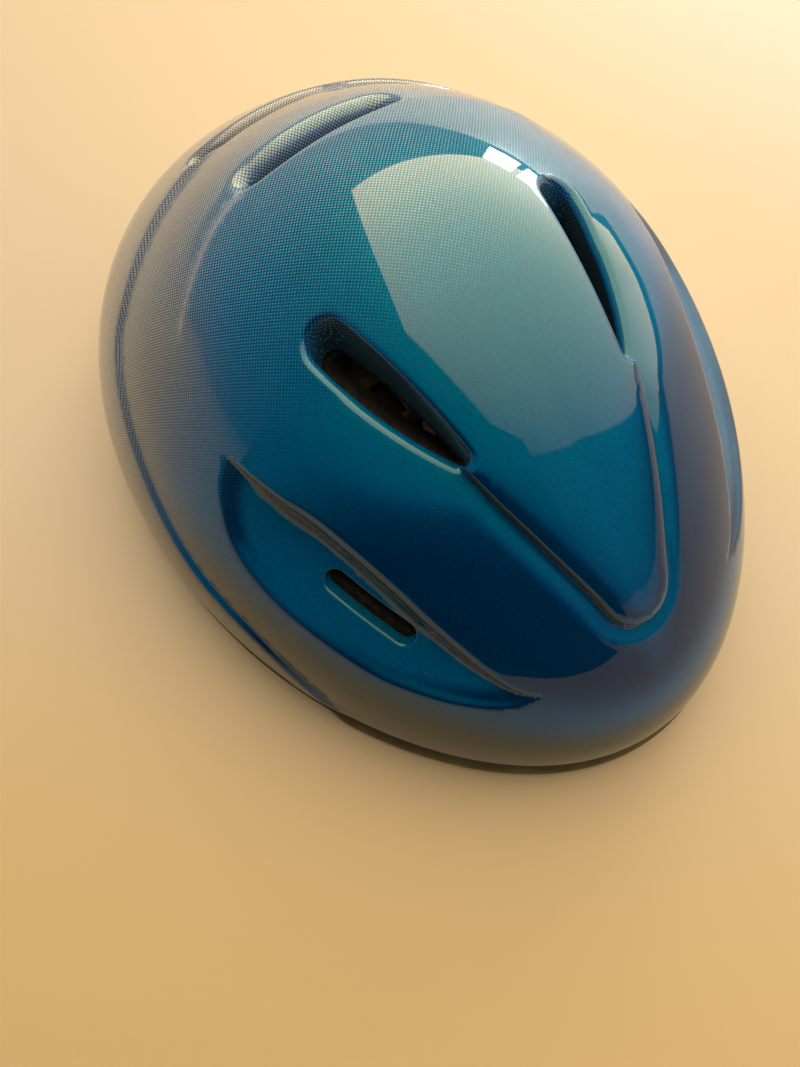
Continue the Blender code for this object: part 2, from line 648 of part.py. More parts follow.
def pads_and_hooks():
    pad_finish = material("pad_fabric", (0.02, 0.02, 0.024), 0.95)
    hook_finish = material("hook_tape", (0.03, 0.03, 0.03), 0.9)
    hook_back = LINER_DEPTH + CLEARANCE
    pad_back = hook_back + HOOK_THICKNESS + CLEARANCE
    pad_depths = [(share, pad_back + PAD_EDGE + (PAD_THICKNESS - PAD_EDGE) * (1 - share ** PAD_CROWN))
                  for share in np.linspace(1, 0, PAD_RINGS, endpoint=False)]

    def hook(name, bearing, angle):
        middle = polar(np.radians([bearing]), np.radians([angle]))
        place, normal = dome(middle)[0], dome_normals(middle)[0]
        side = np.cross(normal, (0.0, 1.0, 0.0))
        side /= np.linalg.norm(side)
        other = np.cross(normal, side)
        grow = 1 / (1 - LINER_DEPTH / (WIDTH / 2))

        def outline(share):
            ring = rounded(HOOK_POINTS, 1.0) * HOOK_RADIUS * share * grow
            return on_dome(place + ring[:, :1] * side + ring[:, 1:] * other)

        lens(name, outline, hook_back, [(1.0, hook_back + HOOK_THICKNESS)], hook_finish)

    for name, (bearing, angle, half_bearing, half_angle) in PADS_DEG.items():
        def outline(share, b=bearing, a=angle, hb=half_bearing, ha=half_angle):
            ring = rounded(PAD_POINTS, PAD_CORNER_POWER) * share
            return polar(np.radians(b + hb * ring[:, 0]), np.radians(a + ha * ring[:, 1]))
        lens(name + "_pad", outline, pad_back, pad_depths, pad_finish)
        if name == "brow":
            hook("brow_left_hook", bearing + BROW_HOOK_BEARING_DEG, angle)
            hook("brow_right_hook", bearing - BROW_HOOK_BEARING_DEG, angle)
        else:
            hook(name + "_hook", bearing, angle)

    def crown_outline(share):
        ring = rounded(PAD_POINTS, CROWN_PAD_CORNER_POWER) * np.array(CROWN_PAD_HALF) * share
        centre = np.array([0.0, CROWN_PAD_CENTRE_Y])
        return on_dome(np.column_stack([ring + centre, np.full(len(ring), HEIGHT)]))

    lens("crown_pad", crown_outline, pad_back, pad_depths, pad_finish)
    middle = crown_outline(0.0)[0]
    hook("crown_hook", np.degrees(np.arctan2(middle[1], middle[0])), np.degrees(np.hypot(*middle)))


def ribbon(name, centres, sides, ups, width, thickness, finish):
    """Webbing as a row of rectangles, each with its own side and face directions."""
    rows = []
    for centre, side, up in zip(centres, sides, ups):
        s, t = np.array(side) * width / 2, np.array(up) * thickness / 2
        rows.append([centre - s - t, centre + s - t, centre + s + t, centre - s + t])
    points = np.array(rows).reshape(-1, 3)
    faces = [(0, 1, 2, 3), tuple(len(points) - 4 + k for k in range(4))]
    for r in range(len(rows) - 1):
        for k in range(4):
            m = (k + 1) % 4
            faces.append((4 * r + k, 4 * r + m, 4 * r + 4 + m, 4 * r + 4 + k))
    return node_object(name, points, faces, finish)


def block(name, low, high, finish):
    """A plain box between two corners."""
    low, high = np.minimum(low, high), np.maximum(low, high)
    corners = [(x, y, z) for x in (low[0], high[0]) for y in (low[1], high[1]) for z in (low[2], high[2])]
    faces = [(0, 1, 3, 2), (4, 6, 7, 5), (0, 4, 5, 1), (2, 3, 7, 6), (0, 2, 6, 4), (1, 5, 7, 3)]
    return node_object(name, corners, faces, finish)


def joined(piece, cutter, operation):
    """Boolean of one piece with a guide piece, which stays in the file as a hidden wire."""
    cutter.hide_render = True
    cutter.display_type = "WIRE"
    step = piece.modifiers.new(cutter.name, "BOOLEAN")
    step.operation = operation
    step.object = cutter
    step.solver = "EXACT"


def seat_depth(width, thickness):
    """Depth under the dome of a flat strip's middle when its edges rest on the foam's curved inside."""
    inner_radius = WIDTH / 2 - LINER_DEPTH
    return LINER_DEPTH + CLEARANCE + width ** 2 / 8 / inner_radius + thickness / 2


def strap_angle(bearing, height, depth):
    """Angle from the crown where a point at a depth under the dome has the given height."""
    angles = np.radians(np.linspace(*STRAP_SEARCH_DEG, SEARCH_POINTS))
    disc = polar(np.full(angles.shape, bearing), angles)
    z = (dome(disc) - dome_normals(disc) * depth)[:, 2]
    return np.interp(0.0, height - z, angles)


def swing_place(bearing):
    """Point where a strap leaves the foam and starts to swing, with its end square to the swing's axis."""
    disc = polar(np.array([bearing]), np.array([strap_angle(bearing, SWING_HEIGHT, LINER_DEPTH)]))
    normal = dome_normals(disc)[0]
    depth = seat_depth(WEB_WIDTH, WEB_THICKNESS) + WEB_WIDTH / 2 * abs(normal[1])
    return dome(disc)[0] - normal * depth


def rear_bearing():
    """Bearing behind the ear at which the rear strap leaves as far out as the front one."""
    reach = swing_place(np.radians(FRONT_STRAP_BEARING_DEG))[0]
    bearings = np.radians(np.linspace(*REAR_STRAP_BEARINGS_DEG, OUTLINE_POINTS))
    return np.interp(-reach, [-swing_place(b)[0] for b in bearings], bearings)


def strip_on_foam(name, bearing, mirror, angles, depth, width, thickness, finish):
    """A flat strip down the foam's inside at one bearing."""
    flip = np.array([mirror, 1, 1])
    disc = polar(np.full(angles.shape, bearing), angles)
    normal = dome_normals(disc)
    centre = dome(disc) - normal * depth
    side = np.cross(normal, np.gradient(centre, axis=0))
    side /= np.linalg.norm(side, axis=1, keepdims=True)
    ribbon(name, centre * flip, side * flip, normal * flip, width, thickness, finish)


def fixed_straps(web, plastic):
    """Anchors on the foam and the webbing from each anchor down the foam to the rim."""
    web_depth = seat_depth(WEB_WIDTH, WEB_THICKNESS)
    anchor_depth = seat_depth(ANCHOR_WIDTH, ANCHOR_THICKNESS)
    anchor_ends = (ANCHOR_CENTRE_HEIGHT + ANCHOR_HEIGHT / 2, ANCHOR_CENTRE_HEIGHT - ANCHOR_HEIGHT / 2)
    web_ends = (anchor_ends[1] - CLEARANCE, SWING_HEIGHT + WEB_THICKNESS / 2 + CLEARANCE)
    for row, bearing in (("front", np.radians(FRONT_STRAP_BEARING_DEG)), ("rear", rear_bearing())):
        top, low = [strap_angle(bearing, height, web_depth) for height in web_ends]
        web_angles = np.linspace(top, low, FIXED_STRAP_POINTS)
        anchor_angles = np.array([strap_angle(bearing, height, anchor_depth) for height in anchor_ends])
        for hand, mirror in (("left", 1), ("right", -1)):
            strip_on_foam(f"{row}_{hand}_fixed_strap", bearing, mirror, web_angles,
                          web_depth, WEB_WIDTH, WEB_THICKNESS, web)
            strip_on_foam(f"{row}_{hand}_anchor", bearing, mirror, anchor_angles,
                          anchor_depth, ANCHOR_WIDTH, ANCHOR_THICKNESS, plastic)


def loose_strap(name, start, end, finish):
    """Webbing from the rim to the junction: leaves and arrives square, and drops to the table."""
    t = np.linspace(0, 1, LOOSE_STRAP_POINTS)
    centre = np.stack([start[0] + (end[0] - start[0]) * t, start[1] + (end[1] - start[1]) * smooth(0, 1, t),
                       start[2] + (end[2] - start[2]) * smooth(0, STRAP_DROP_SHARE, t)], axis=1)
    tangent = np.gradient(centre, t, axis=0)
    tangent[[0, -1], 1:] = 0.0
    side = np.cross((0, 0, 1), tangent)
    side /= np.linalg.norm(side, axis=1, keepdims=True)
    up = np.cross(tangent, side)
    up /= np.linalg.norm(up, axis=1, keepdims=True)
    return ribbon(name, centre, side, up, WEB_WIDTH, WEB_THICKNESS, finish)


def sleeve(name, x0, x1, y, z0, z1, finish):
    """A rectangular ring that the webbing between heights z0 and z1 passes through."""
    half = WEB_WIDTH / 2 + CLEARANCE
    low, high = z0 - CLEARANCE, z1 + CLEARANCE
    outer = block(name, (x0, y - half - SLEEVE_WALL, low - SLEEVE_WALL),
                  (x1, y + half + SLEEVE_WALL, high + SLEEVE_WALL), finish)
    hole = block(name + "_hole", (min(x0, x1) - SLEEVE_WALL, y - half, low),
                 (max(x0, x1) + SLEEVE_WALL, y + half, high), finish)
    joined(outer, hole, "DIFFERENCE")
    return outer


def harness_half(hand, mirror, web, plastic):
    """Loose webbing of one side with its divider, hung on an empty on the line where it swings."""
    y, z, inward = CHIN_STRAP_OFFSET_Y * mirror, CHIN_STRAP_HEIGHT, -mirror
    layer = (WEB_THICKNESS + WEB_LAYER_GAP) / 2
    junction, rear = JUNCTION_X * mirror, BUCKLE_REAR_X * mirror
    low, high = z - layer - WEB_THICKNESS / 2, z + layer + WEB_THICKNESS / 2
    window = rear + inward * (PLUG_BAR + WEB_WINDOW_LENGTH)
    start, end = junction + inward * CLEARANCE, window - inward * CLEARANCE
    front_bearing = np.radians(FRONT_STRAP_BEARING_DEG)
    pieces = []
    for row, bearing, offset in (("front", front_bearing, -layer), ("rear", rear_bearing(), layer)):
        exit_place = swing_place(bearing) * np.array([mirror, 1, 1])
        pieces.append(loose_strap(f"{hand}_{row}_strap", exit_place, (junction, y, z + offset), web))
    pieces.append(block(f"{hand}_chin_strap", (start, y - WEB_WIDTH / 2, low),
                        (end, y + WEB_WIDTH / 2, high), web))
    divider = start + inward * CLEARANCE
    divider_end = divider + inward * DIVIDER_LENGTH
    pieces.append(sleeve(f"{hand}_divider", divider, divider_end, y, low, high, plastic))

    hanger = bpy.data.objects.new(f"{hand}_harness_swing", None)
    front_exit = swing_place(front_bearing)
    hanger.location = (front_exit[0] * mirror, 0.0, front_exit[2])
    bpy.context.scene.collection.objects.link(hanger)
    hang(pieces, hanger)
    return dict(y=y, z=z, rear=rear, inward=inward, window=window, low=low, high=high,
                divider_end=divider_end, hanger=hanger)


def hang(pieces, hanger):
    """Ties pieces to an empty, so that they turn with it and stay where they are."""
    for piece in pieces:
        piece.parent = hanger
        piece.matrix_parent_inverse = Matrix.Translation(hanger.location).inverted()


def web_entry(piece, seat):
    """Cuts the passage and window in which the webbing is held by a buckle half's bar."""
    x0, inward, y = seat["rear"], seat["inward"], seat["y"]
    half = WEB_WIDTH / 2 + CLEARANCE
    finish = piece.data.materials[0]
    passage_end = x0 + inward * (PLUG_BAR + WEB_WINDOW_LENGTH / 2)
    passage = block(piece.name + "_passage", (x0 - inward * PLUG_BAR, y - half, seat["low"] - CLEARANCE),
                    (passage_end, y + half, seat["high"] + CLEARANCE), finish)
    joined(piece, passage, "DIFFERENCE")
    window = block(piece.name + "_window", (x0 + inward * PLUG_BAR, y - half, seat["z"] - BUCKLE_THICKNESS),
                   (seat["window"], y + half, seat["z"] + BUCKLE_THICKNESS), finish)
    joined(piece, window, "DIFFERENCE")


def prong(name, face, away, seat, plastic):
    """One sprung arm of the plug, barbed on its outer side, with its origin on the line where it bends."""
    inward, y, z = seat["inward"], seat["y"], seat["z"]
    outer = BUCKLE_WIDTH / 2 - PRONG_BARB
    inner = outer - PRONG_WIDTH
    barb_top = BARB_START + BARB_RISE
    profile = [(CLEARANCE, inner), (PRONG_LENGTH, inner), (PRONG_LENGTH, (inner + outer) / 2),
               (barb_top + BARB_FLAT, outer + PRONG_BARB), (barb_top, outer + PRONG_BARB),
               (BARB_START, outer), (CLEARANCE, outer)]
    pivot = Vector((face + inward * 2 * CLEARANCE, y + away * (inner + outer) / 2, z))
    points = [Vector((face + inward * u, y + away * v, z + s * PRONG_THICKNESS / 2)) - pivot
              for s in (-1, 1) for u, v in profile]
    count = len(profile)
    faces = [tuple(range(count)), tuple(range(count, 2 * count))]
    faces += [(i, (i + 1) % count, count + (i + 1) % count, count + i) for i in range(count)]
    piece = node_object(name, points, faces, plastic)
    piece.location = pivot
    return piece


def buckle_plug(seat, plastic):
    x0, inward, y, z = seat["rear"], seat["inward"], seat["y"], seat["z"]
    face = seat["window"] + inward * PLUG_BAR
    half = BUCKLE_THICKNESS / 2
    wide = BUCKLE_WIDTH / 2
    base = block("buckle_plug", (x0, y - wide, z - half), (face, y + wide, z + half), plastic)
    guide_root, guide_tip = face - inward * PLUG_BAR / 2, face + inward * PRONG_LENGTH
    guide = block("buckle_plug_guide", (guide_root, y - GUIDE_WIDTH / 2, z - PRONG_THICKNESS / 2),
                  (guide_tip, y + GUIDE_WIDTH / 2, z + PRONG_THICKNESS / 2), plastic)
    joined(base, guide, "UNION")
    web_entry(base, seat)
    front_prong = prong("plug_front_prong", face, -1, seat, plastic)
    rear_prong = prong("plug_rear_prong", face, 1, seat, plastic)
    hang([base, front_prong, rear_prong], seat["hanger"])


def buckle_socket(seat, plastic):
    """The buckle's other half: a hollow for the prongs, with side windows that their barbs catch."""
    x0, inward, y, z = seat["rear"], seat["inward"], seat["y"], seat["z"]
    half, wide = BUCKLE_THICKNESS / 2, BUCKLE_WIDTH / 2 + SOCKET_WALL
    hollow_start = seat["window"] + inward * SOCKET_PARTITION
    mouth = hollow_start + inward * (PRONG_LENGTH + PRONG_END_ROOM)
    body = block("buckle_socket", (x0, y - wide, z - half), (mouth, y + wide, z + half), plastic)
    room = half - SOCKET_WALL
    hollow = block("buckle_socket_hollow", (hollow_start, y - BUCKLE_WIDTH / 2, z - room),
                   (mouth + inward * SOCKET_WALL, y + BUCKLE_WIDTH / 2, z + room), plastic)
    joined(body, hollow, "DIFFERENCE")
    catch = mouth - inward * (BARB_START - CLEARANCE)
    window_half = PRONG_THICKNESS / 2 + CLEARANCE
    sides = block("buckle_socket_side_windows", (catch, y - 2 * wide, z - window_half),
                  (catch - inward * SOCKET_WINDOW_LENGTH, y + 2 * wide, z + window_half), plastic)
    joined(body, sides, "DIFFERENCE")
    web_entry(body, seat)
    hang([body], seat["hanger"])


def tail_and_keeper(seat, web):
    """The strap's free end, folded back over the chin strap, and the rubber keeper round both."""
    inward, rear, y = seat["inward"], seat["rear"], seat["y"]
    start = seat["divider_end"] + inward * (DIVIDER_TRAVEL + CLEARANCE)
    low = seat["high"] + CLEARANCE
    high = low + WEB_THICKNESS
    tail = block("strap_tail", (start, y - WEB_WIDTH / 2, low),
                 (rear - inward * CLEARANCE, y + WEB_WIDTH / 2, high), web)
    keeper = rear - inward * (KEEPER_TRAVEL + CLEARANCE)
    rubber = material("keeper_rubber", (0.02, 0.02, 0.02), 0.7)
    ring = sleeve("strap_keeper", keeper - inward * KEEPER_LENGTH, keeper, y, seat["low"], high, rubber)
    hang([tail, ring], seat["hanger"])


def harness():
    web = material("webbing_black", (0.015, 0.015, 0.017), 0.9)
    plastic = material("buckle_black", (0.014, 0.014, 0.015), 0.4)
    fixed_straps(web, material("anchor_black", (0.02, 0.02, 0.02), 0.5))
    right = harness_half("right", -1, web, plastic)
    left = harness_half("left", 1, web, plastic)
    buckle_plug(right, plastic)
    tail_and_keeper(right, web)
    buckle_socket(left, plastic)


clear_scene()
helmet_net = dome_net()
shell_and_liner(helmet_net)
rim_trim(helmet_net)
pads_and_hooks()
harness()
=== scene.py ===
import bpy
import bmesh
import numpy as np
from mathutils import Matrix, Vector
from mathutils.bvhtree import BVHTree
from mathutils.geometry import delaunay_2d_cdt
from mathutils.kdtree import KDTree


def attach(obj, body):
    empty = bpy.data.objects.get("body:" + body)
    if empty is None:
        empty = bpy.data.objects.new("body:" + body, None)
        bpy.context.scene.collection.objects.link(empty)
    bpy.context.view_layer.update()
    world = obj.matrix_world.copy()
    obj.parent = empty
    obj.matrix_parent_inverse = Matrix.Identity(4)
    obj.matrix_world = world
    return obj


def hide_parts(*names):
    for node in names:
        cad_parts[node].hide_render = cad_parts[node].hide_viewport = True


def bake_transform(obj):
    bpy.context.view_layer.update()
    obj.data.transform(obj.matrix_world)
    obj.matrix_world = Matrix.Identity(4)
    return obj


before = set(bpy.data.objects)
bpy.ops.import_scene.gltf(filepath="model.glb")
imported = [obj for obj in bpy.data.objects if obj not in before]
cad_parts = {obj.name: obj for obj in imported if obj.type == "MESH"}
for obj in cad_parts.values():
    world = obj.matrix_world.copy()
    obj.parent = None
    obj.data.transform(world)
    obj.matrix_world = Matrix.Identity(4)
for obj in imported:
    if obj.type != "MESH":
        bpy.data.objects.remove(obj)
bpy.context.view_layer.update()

# Outer shell: one sheet of hard plastic formed hot over a mould, with its vents cut out and their edges turned in as
# flanges.
# Blue pearl with a dotted print under clear lacquer, with painted light and shade in its blue; it is bonded over the
# foam.
LENGTH = 0.270
WIDTH = 0.200
HEIGHT = 0.140
WIDEST_HEIGHT = 0.016
REAR_BULGE = 0.080
PLAN_WAIST = -0.058
PLAN_NOSE = 0.024
SHOULDER = -0.109
SHOULDER_DROP = -0.2185
CROWN_LEAN = -0.009
CROWN_BREADTH = 0.169
REAR_EDGE_HEIGHT = 0.0025
FRONT_EDGE_HEIGHT = 0.0065
EDGE_STEP_Y = -0.068
EDGE_STEP_LENGTH = 0.010
CLEARANCE = 0.0003
SHELL_WALL = 0.0015
LINER_DEPTH = 0.022
LINER_SHELF = 0.0007
FLANGE_ROUND = 0.0004
DRAFT = 0.15
SMALLEST_ROLL = 0.0002


def smooth(low, high, value):
    share = np.clip((value - low) / (high - low), 0.0, 1.0)
    return share ** 3 * (share * (6 * share - 15) + 10)


def eased(low, high, value, ease=0.25):
    """A straight climb from 0 to 1 whose two ends are rounded over a share of it."""
    share = np.clip((value - low) / (high - low), 0.0, 1.0)
    near = np.minimum(share, 1 - share)
    bend = np.where(near < ease, near ** 2 / (2 * ease), near - ease / 2) / (1 - ease)
    return np.where(share < 0.5, bend, 1 - bend)


def dome(disc):
    """Bare dome at disc points: the distance from the disc's centre is the angle from the crown."""
    angle = np.hypot(disc[:, 0], disc[:, 1])
    safe = np.maximum(angle, 1e-9)
    across, along = disc[:, 0] / safe, disc[:, 1] / safe
    rise, spread = np.cos(angle), np.sin(angle)
    reach = spread * (1 + SHOULDER * rise ** 2)
    plan = (1 + PLAN_WAIST * (along * spread) ** 2) * (1 + REAR_BULGE * along * spread)
    x = WIDTH / 2 * across * plan * (1 + CROWN_BREADTH * rise ** 2) * reach
    y = LENGTH / 2 * along * (1 + PLAN_NOSE * (across * spread) ** 2) * reach + CROWN_LEAN * rise ** 2
    z = WIDEST_HEIGHT + (HEIGHT - WIDEST_HEIGHT) * rise * (1 + SHOULDER_DROP * spread ** 2)
    return np.stack([x, y, z], axis=1)


def dome_slopes(disc):
    small = 1e-4
    step_a, step_b = np.array([small, 0.0]), np.array([0.0, small])
    slope_a = (dome(disc + step_a) - dome(disc - step_a)) / (2 * small)
    slope_b = (dome(disc + step_b) - dome(disc - step_b)) / (2 * small)
    return slope_a, slope_b


def dome_normals(disc):
    slope_a, slope_b = dome_slopes(disc)
    normal = np.cross(slope_a, slope_b)
    return normal / np.linalg.norm(normal, axis=1, keepdims=True)


def on_dome(points):
    """Disc points of the dome points nearest to the given points."""
    points = np.asarray(points, dtype=float)
    scaled = np.stack([points[:, 0] / (WIDTH / 2), points[:, 1] / (LENGTH / 2),
                       (points[:, 2] - WIDEST_HEIGHT) / (HEIGHT - WIDEST_HEIGHT)], axis=1)
    angle = np.arctan2(np.hypot(scaled[:, 0], scaled[:, 1]), scaled[:, 2])
    bearing = np.arctan2(scaled[:, 1], scaled[:, 0])
    disc = np.stack([angle * np.cos(bearing), angle * np.sin(bearing)], axis=1)
    for _ in range(12):
        slope_a, slope_b = dome_slopes(disc)
        miss = points - dome(disc)
        aa, ab, bb = (slope_a ** 2).sum(1), (slope_a * slope_b).sum(1), (slope_b ** 2).sum(1)
        ma, mb = (miss * slope_a).sum(1), (miss * slope_b).sum(1)
        scale = aa * bb - ab ** 2
        disc = disc + np.stack([(bb * ma - ab * mb) / scale, (aa * mb - ab * ma) / scale], axis=1)
    return disc


def polar(bearing, angle):
    return np.stack([angle * np.cos(bearing), angle * np.sin(bearing)], axis=-1)


def rim_table():
    """Angle from the crown at which the shell ends, all the way round; the edge is higher over the brow."""
    bearings = np.linspace(-np.pi, np.pi, 721)
    angles = np.linspace(1.2, 1.8, 240)
    ends = np.empty(len(bearings))
    for i, b in enumerate(bearings):
        places = dome(polar(np.full(angles.shape, b), angles))
        forward = smooth(EDGE_STEP_Y + EDGE_STEP_LENGTH / 2, EDGE_STEP_Y - EDGE_STEP_LENGTH / 2, places[:, 1])
        height = REAR_EDGE_HEIGHT + (FRONT_EDGE_HEIGHT - REAR_EDGE_HEIGHT) * forward
        ends[i] = np.interp(0.0, height - places[:, 2], angles)
    return bearings, ends


RIM_BEARINGS, RIM_ANGLES = rim_table()


def edge_angle(bearing):
    return np.interp((np.asarray(bearing) + np.pi) % (2 * np.pi) - np.pi, RIM_BEARINGS, RIM_ANGLES)


def relief_line(control):
    """A smooth line on the dome through points given as a bearing and an angle from the crown in degrees."""
    control = np.radians(control)
    control = polar(control[:, 0], control[:, 1])
    before, after = 2 * control[0] - control[1], 2 * control[-1] - control[-2]
    ends = [before, *control, after]
    t = np.linspace(0, 1, 12, endpoint=False)[:, None]
    samples = []
    for p0, p1, p2, p3 in zip(ends, ends[1:], ends[2:], ends[3:]):
        samples.append(0.5 * (2 * p1 + (p2 - p0) * t + (2 * p0 - 5 * p1 + 4 * p2 - p3) * t ** 2
                              + (3 * p1 - p0 - 3 * p2 + p3) * t ** 3))
    disc = np.vstack([*samples, control[-1:]])
    places, normals = dome(disc), dome_normals(disc)
    tangents = np.gradient(places, axis=0)
    tangents /= np.linalg.norm(tangents, axis=1, keepdims=True)
    length = np.concatenate([[0.0], np.cumsum(np.linalg.norm(np.diff(places, axis=0), axis=1))])
    return dict(disc=disc, places=places, across=np.cross(normals, tangents), length=length)


# The lines of the relief on the wearer's left
CROWN_LINE = relief_line([(5, 20.5), (-33, 21.5), (-58, 30.5), (-71.5, 39.5), (-80, 48.5), (-83, 53),
                          (-86.5, 55), (-90, 55.5)])
VENT_AXIS = relief_line([(1.5, 21.8), (-8, 21.8), (-20, 21.8), (-33, 23), (-54.2, 29.6), (-61.5, 33.6)])
SKIRT_LINE = relief_line([(90, 42.5), (69.5, 44.5), (55, 47.5), (38, 53), (29.5, 57.5), (16, 61.5), (-4, 71),
                          (-18, 77), (-27, 86), (-31.5, 94.5)])
GROOVE_LINE = relief_line([(56.5, 29), (47, 31.5), (36.5, 34.5), (27, 38), (19, 41.5)])
ROLL_LINE = relief_line([(1.5, 21.8), (3, 25), (1.5, 29), (-4, 33), (-14, 35.8), (-29.2, 36.8), (-37.6, 36.7),
                         (-48.6, 35.8), (-55, 35.1), (-61.5, 33.6)])
SCOOP_RIDGE = relief_line([(-3, 43.5), (-15, 42), (-26.5, 41.5), (-41.5, 46), (-48.5, 50.5), (-56.5, 57.5),
                           (-61, 61.5), (-65.5, 63)])
SCOOP_LOWER = relief_line([(-3, 43.5), (-6.5, 50.5), (-12, 57), (-21.5, 61.5), (-35.5, 65.5), (-44.5, 66.5),
                           (-52, 66.5), (-59, 65.5), (-65.5, 63)])
CROWN_STEP = 0.0022
CROWN_STEP_WIDTH = 0.0028
CREASE_DEPTH = 0.0010
CREASE_HALF_WIDTH = 0.0030
CROWN_FADE = 0.022
ROLL_SLOPE = 0.14
SKIRT_STEP = 0.0016
SKIRT_STEP_WIDTH = 0.0034
SKIRT_FADE = 0.015
GROOVE_STEP = 0.0017
GROOVE_STEP_WIDTH = 0.0046
GROOVE_FADE = 0.012
SCOOP_SLOPE = 0.20
SCOOP_WALL = 0.40
SCOOP_LIP = 0.90
SCOOP_FLOOR_RISE = 0.86


def beside(line, places):
    """Distance from a line, distance across it (positive below or outside) and share along it."""
    starts, ends = line["places"][:-1], line["places"][1:]
    step = ends - starts
    size = (step ** 2).sum(1)
    length = line["length"]
    dist, side, share = np.empty(len(places)), np.empty(len(places)), np.empty(len(places))
    for low in range(0, len(places), 4000):
        part = slice(low, low + 4000)
        rel = places[part, None, :] - starts[None]
        t = np.clip((rel * step).sum(2) / size, 0, 1)
        gap = rel - t[..., None] * step
        far = np.linalg.norm(gap, axis=2)
        best = far.argmin(1)
        rows = np.arange(len(best))
        t_best = t[rows, best]
        across = line["across"][best] * (1 - t_best)[:, None] + line["across"][best + 1] * t_best[:, None]
        dist[part] = far[rows, best]
        side[part] = (gap[rows, best] * across).sum(1)
        share[part] = (length[best] + t_best * (length[best + 1] - length[best])) / length[-1]
    return dist, side, share


def between(first, second, places):
    """Which places lie between two lines that meet at their ends, seen on the disc."""
    outline = np.vstack([first["disc"], second["disc"][::-1]])
    point = on_dome(places)
    inside = np.zeros(len(point), dtype=bool)
    for (a0, b0), (a1, b1) in zip(outline, np.roll(outline, -1, axis=0)):
        if b0 != b1:
            crosses = (b0 > point[:, 1]) != (b1 > point[:, 1])
            inside ^= crosses & (point[:, 0] < a0 + (point[:, 1] - b0) * (a1 - a0) / (b1 - b0))
    return inside


def relief(places):
    """How far the shell stands off the dome: raised crown, proud skirt, grooves and side scoops."""
    half = places.copy()
    half[:, 0] = np.abs(half[:, 0])

    dist, side, share = beside(CROWN_LINE, half)
    off = np.where(side < 0, dist, -dist)
    rise = smooth(-CROWN_STEP_WIDTH / 2, CROWN_STEP_WIDTH / 2, off) - 0.5
    height = CROWN_STEP * smooth(0.0, 0.5, share) * rise * np.exp(-(off / CROWN_FADE) ** 2)
    crease = np.exp(-((off + CREASE_HALF_WIDTH / 2) / CREASE_HALF_WIDTH) ** 2)
    height -= CREASE_DEPTH * smooth(0.38, 0.55, share) * crease
    from_roll, _, _ = beside(ROLL_LINE, half)
    axis, _, _ = beside(VENT_AXIS, half)
    rolled = from_roll * smooth(CREASE_HALF_WIDTH, 0.0, axis)
    rolled = np.where(between(ROLL_LINE, VENT_AXIS, half), from_roll ** 2 / (from_roll + axis + 1e-9), rolled)
    height -= ROLL_SLOPE * rolled

    dist, side, share = beside(SKIRT_LINE, half)
    off = np.where(side > 0, dist, -dist)
    rise = smooth(-SKIRT_STEP_WIDTH / 2, SKIRT_STEP_WIDTH / 2, off) - 0.5
    height += SKIRT_STEP * (1 - smooth(0.93, 1.0, share)) * rise * np.exp(-(off / SKIRT_FADE) ** 2)

    dist, side, share = beside(GROOVE_LINE, half)
    off = np.where(side < 0, dist, -dist)
    rise = eased(-GROOVE_STEP_WIDTH / 2, GROOVE_STEP_WIDTH / 2, off) - 0.5
    height += GROOVE_STEP * (1 - smooth(0.7, 1.0, share)) * rise * np.exp(-(off / GROOVE_FADE) ** 2)

    from_ridge, _, _ = beside(SCOOP_RIDGE, half)
    from_lower, _, _ = beside(SCOOP_LOWER, half)
    span = from_ridge + from_lower
    place = from_ridge / np.maximum(span, 1e-9)
    floor = 1 - SCOOP_FLOOR_RISE * np.clip((place - SCOOP_WALL) / (1 - SCOOP_WALL), 0, 1)
    floor -= (1 - SCOOP_FLOOR_RISE) * smooth(SCOOP_LIP - 0.1, 1.0, place)
    bowl = smooth(0.0, SCOOP_WALL, place) * floor
    return height - np.where(between(SCOOP_RIDGE, SCOOP_LOWER, half), SCOOP_SLOPE * span * bowl, 0.0)


def vent(first, last, radii, lip, inner_lip, flange, swell=0.0, bow=0.0, pull=0.0, mirror=1):
    """A slot with round ends, from two places in degrees. Given at both ends: its half width, the radius of its
    rolled lip, that of the lip on its other side and the depth of its flange. It can swell or bow between the
    ends, and its flange leans by a share of the way from the dome's normal to straight down."""
    ends = np.radians([first, last])
    first, last = dome(polar(ends[:, 0], ends[:, 1]) * np.array([mirror, 1]))
    normal = dome_normals(on_dome(((first + last) / 2)[None]))[0]
    along = last - first
    along -= normal * (along @ normal)
    half = np.linalg.norm(along) / 2
    along /= 2 * half
    return dict(centre=(first + last) / 2, along=along, across=mirror * np.cross(normal, along), half=half,
                radii=radii, swell=swell, bow=bow, lip=lip, inner_lip=inner_lip, flange=flange,
                lean=pull * (normal - np.array([0, 0, 1]) / normal[2]))


LEFT_TOP = ((-8.2, 21.4), (-56.0, 28.4), (0.0088, 0.0048), (0.0022, 0.0020), (0.0030, 0.0025), (0.010, 0.0050))
LEFT_SIDE = ((-28.3, 53.5), (-41, 57.6), (0.0056, 0.0056), (0.0012, 0.0012), (0.0012, 0.0012), (0.0034, 0.0034))
VENTS = [vent(*LEFT_TOP, swell=0.0016, pull=1.0), vent(*LEFT_TOP, swell=0.0016, pull=1.0, mirror=-1),
         vent(*LEFT_SIDE), vent(*LEFT_SIDE, mirror=-1),
         vent((66.0, 29), (114.0, 29), (0.0100, 0.0100), (0.0040, 0.0040), (0.0040, 0.0040), (0.010, 0.010),
              bow=0.0015, pull=0.6),
         vent((72.5, 46.5), (107.5, 46.5), (0.0073, 0.0073), (0.0030, 0.0030), (0.0030, 0.0030), (0.008, 0.008),
              bow=0.0035)]


def between_ends(values, share):
    return values[0] + (values[1] - values[0]) * share


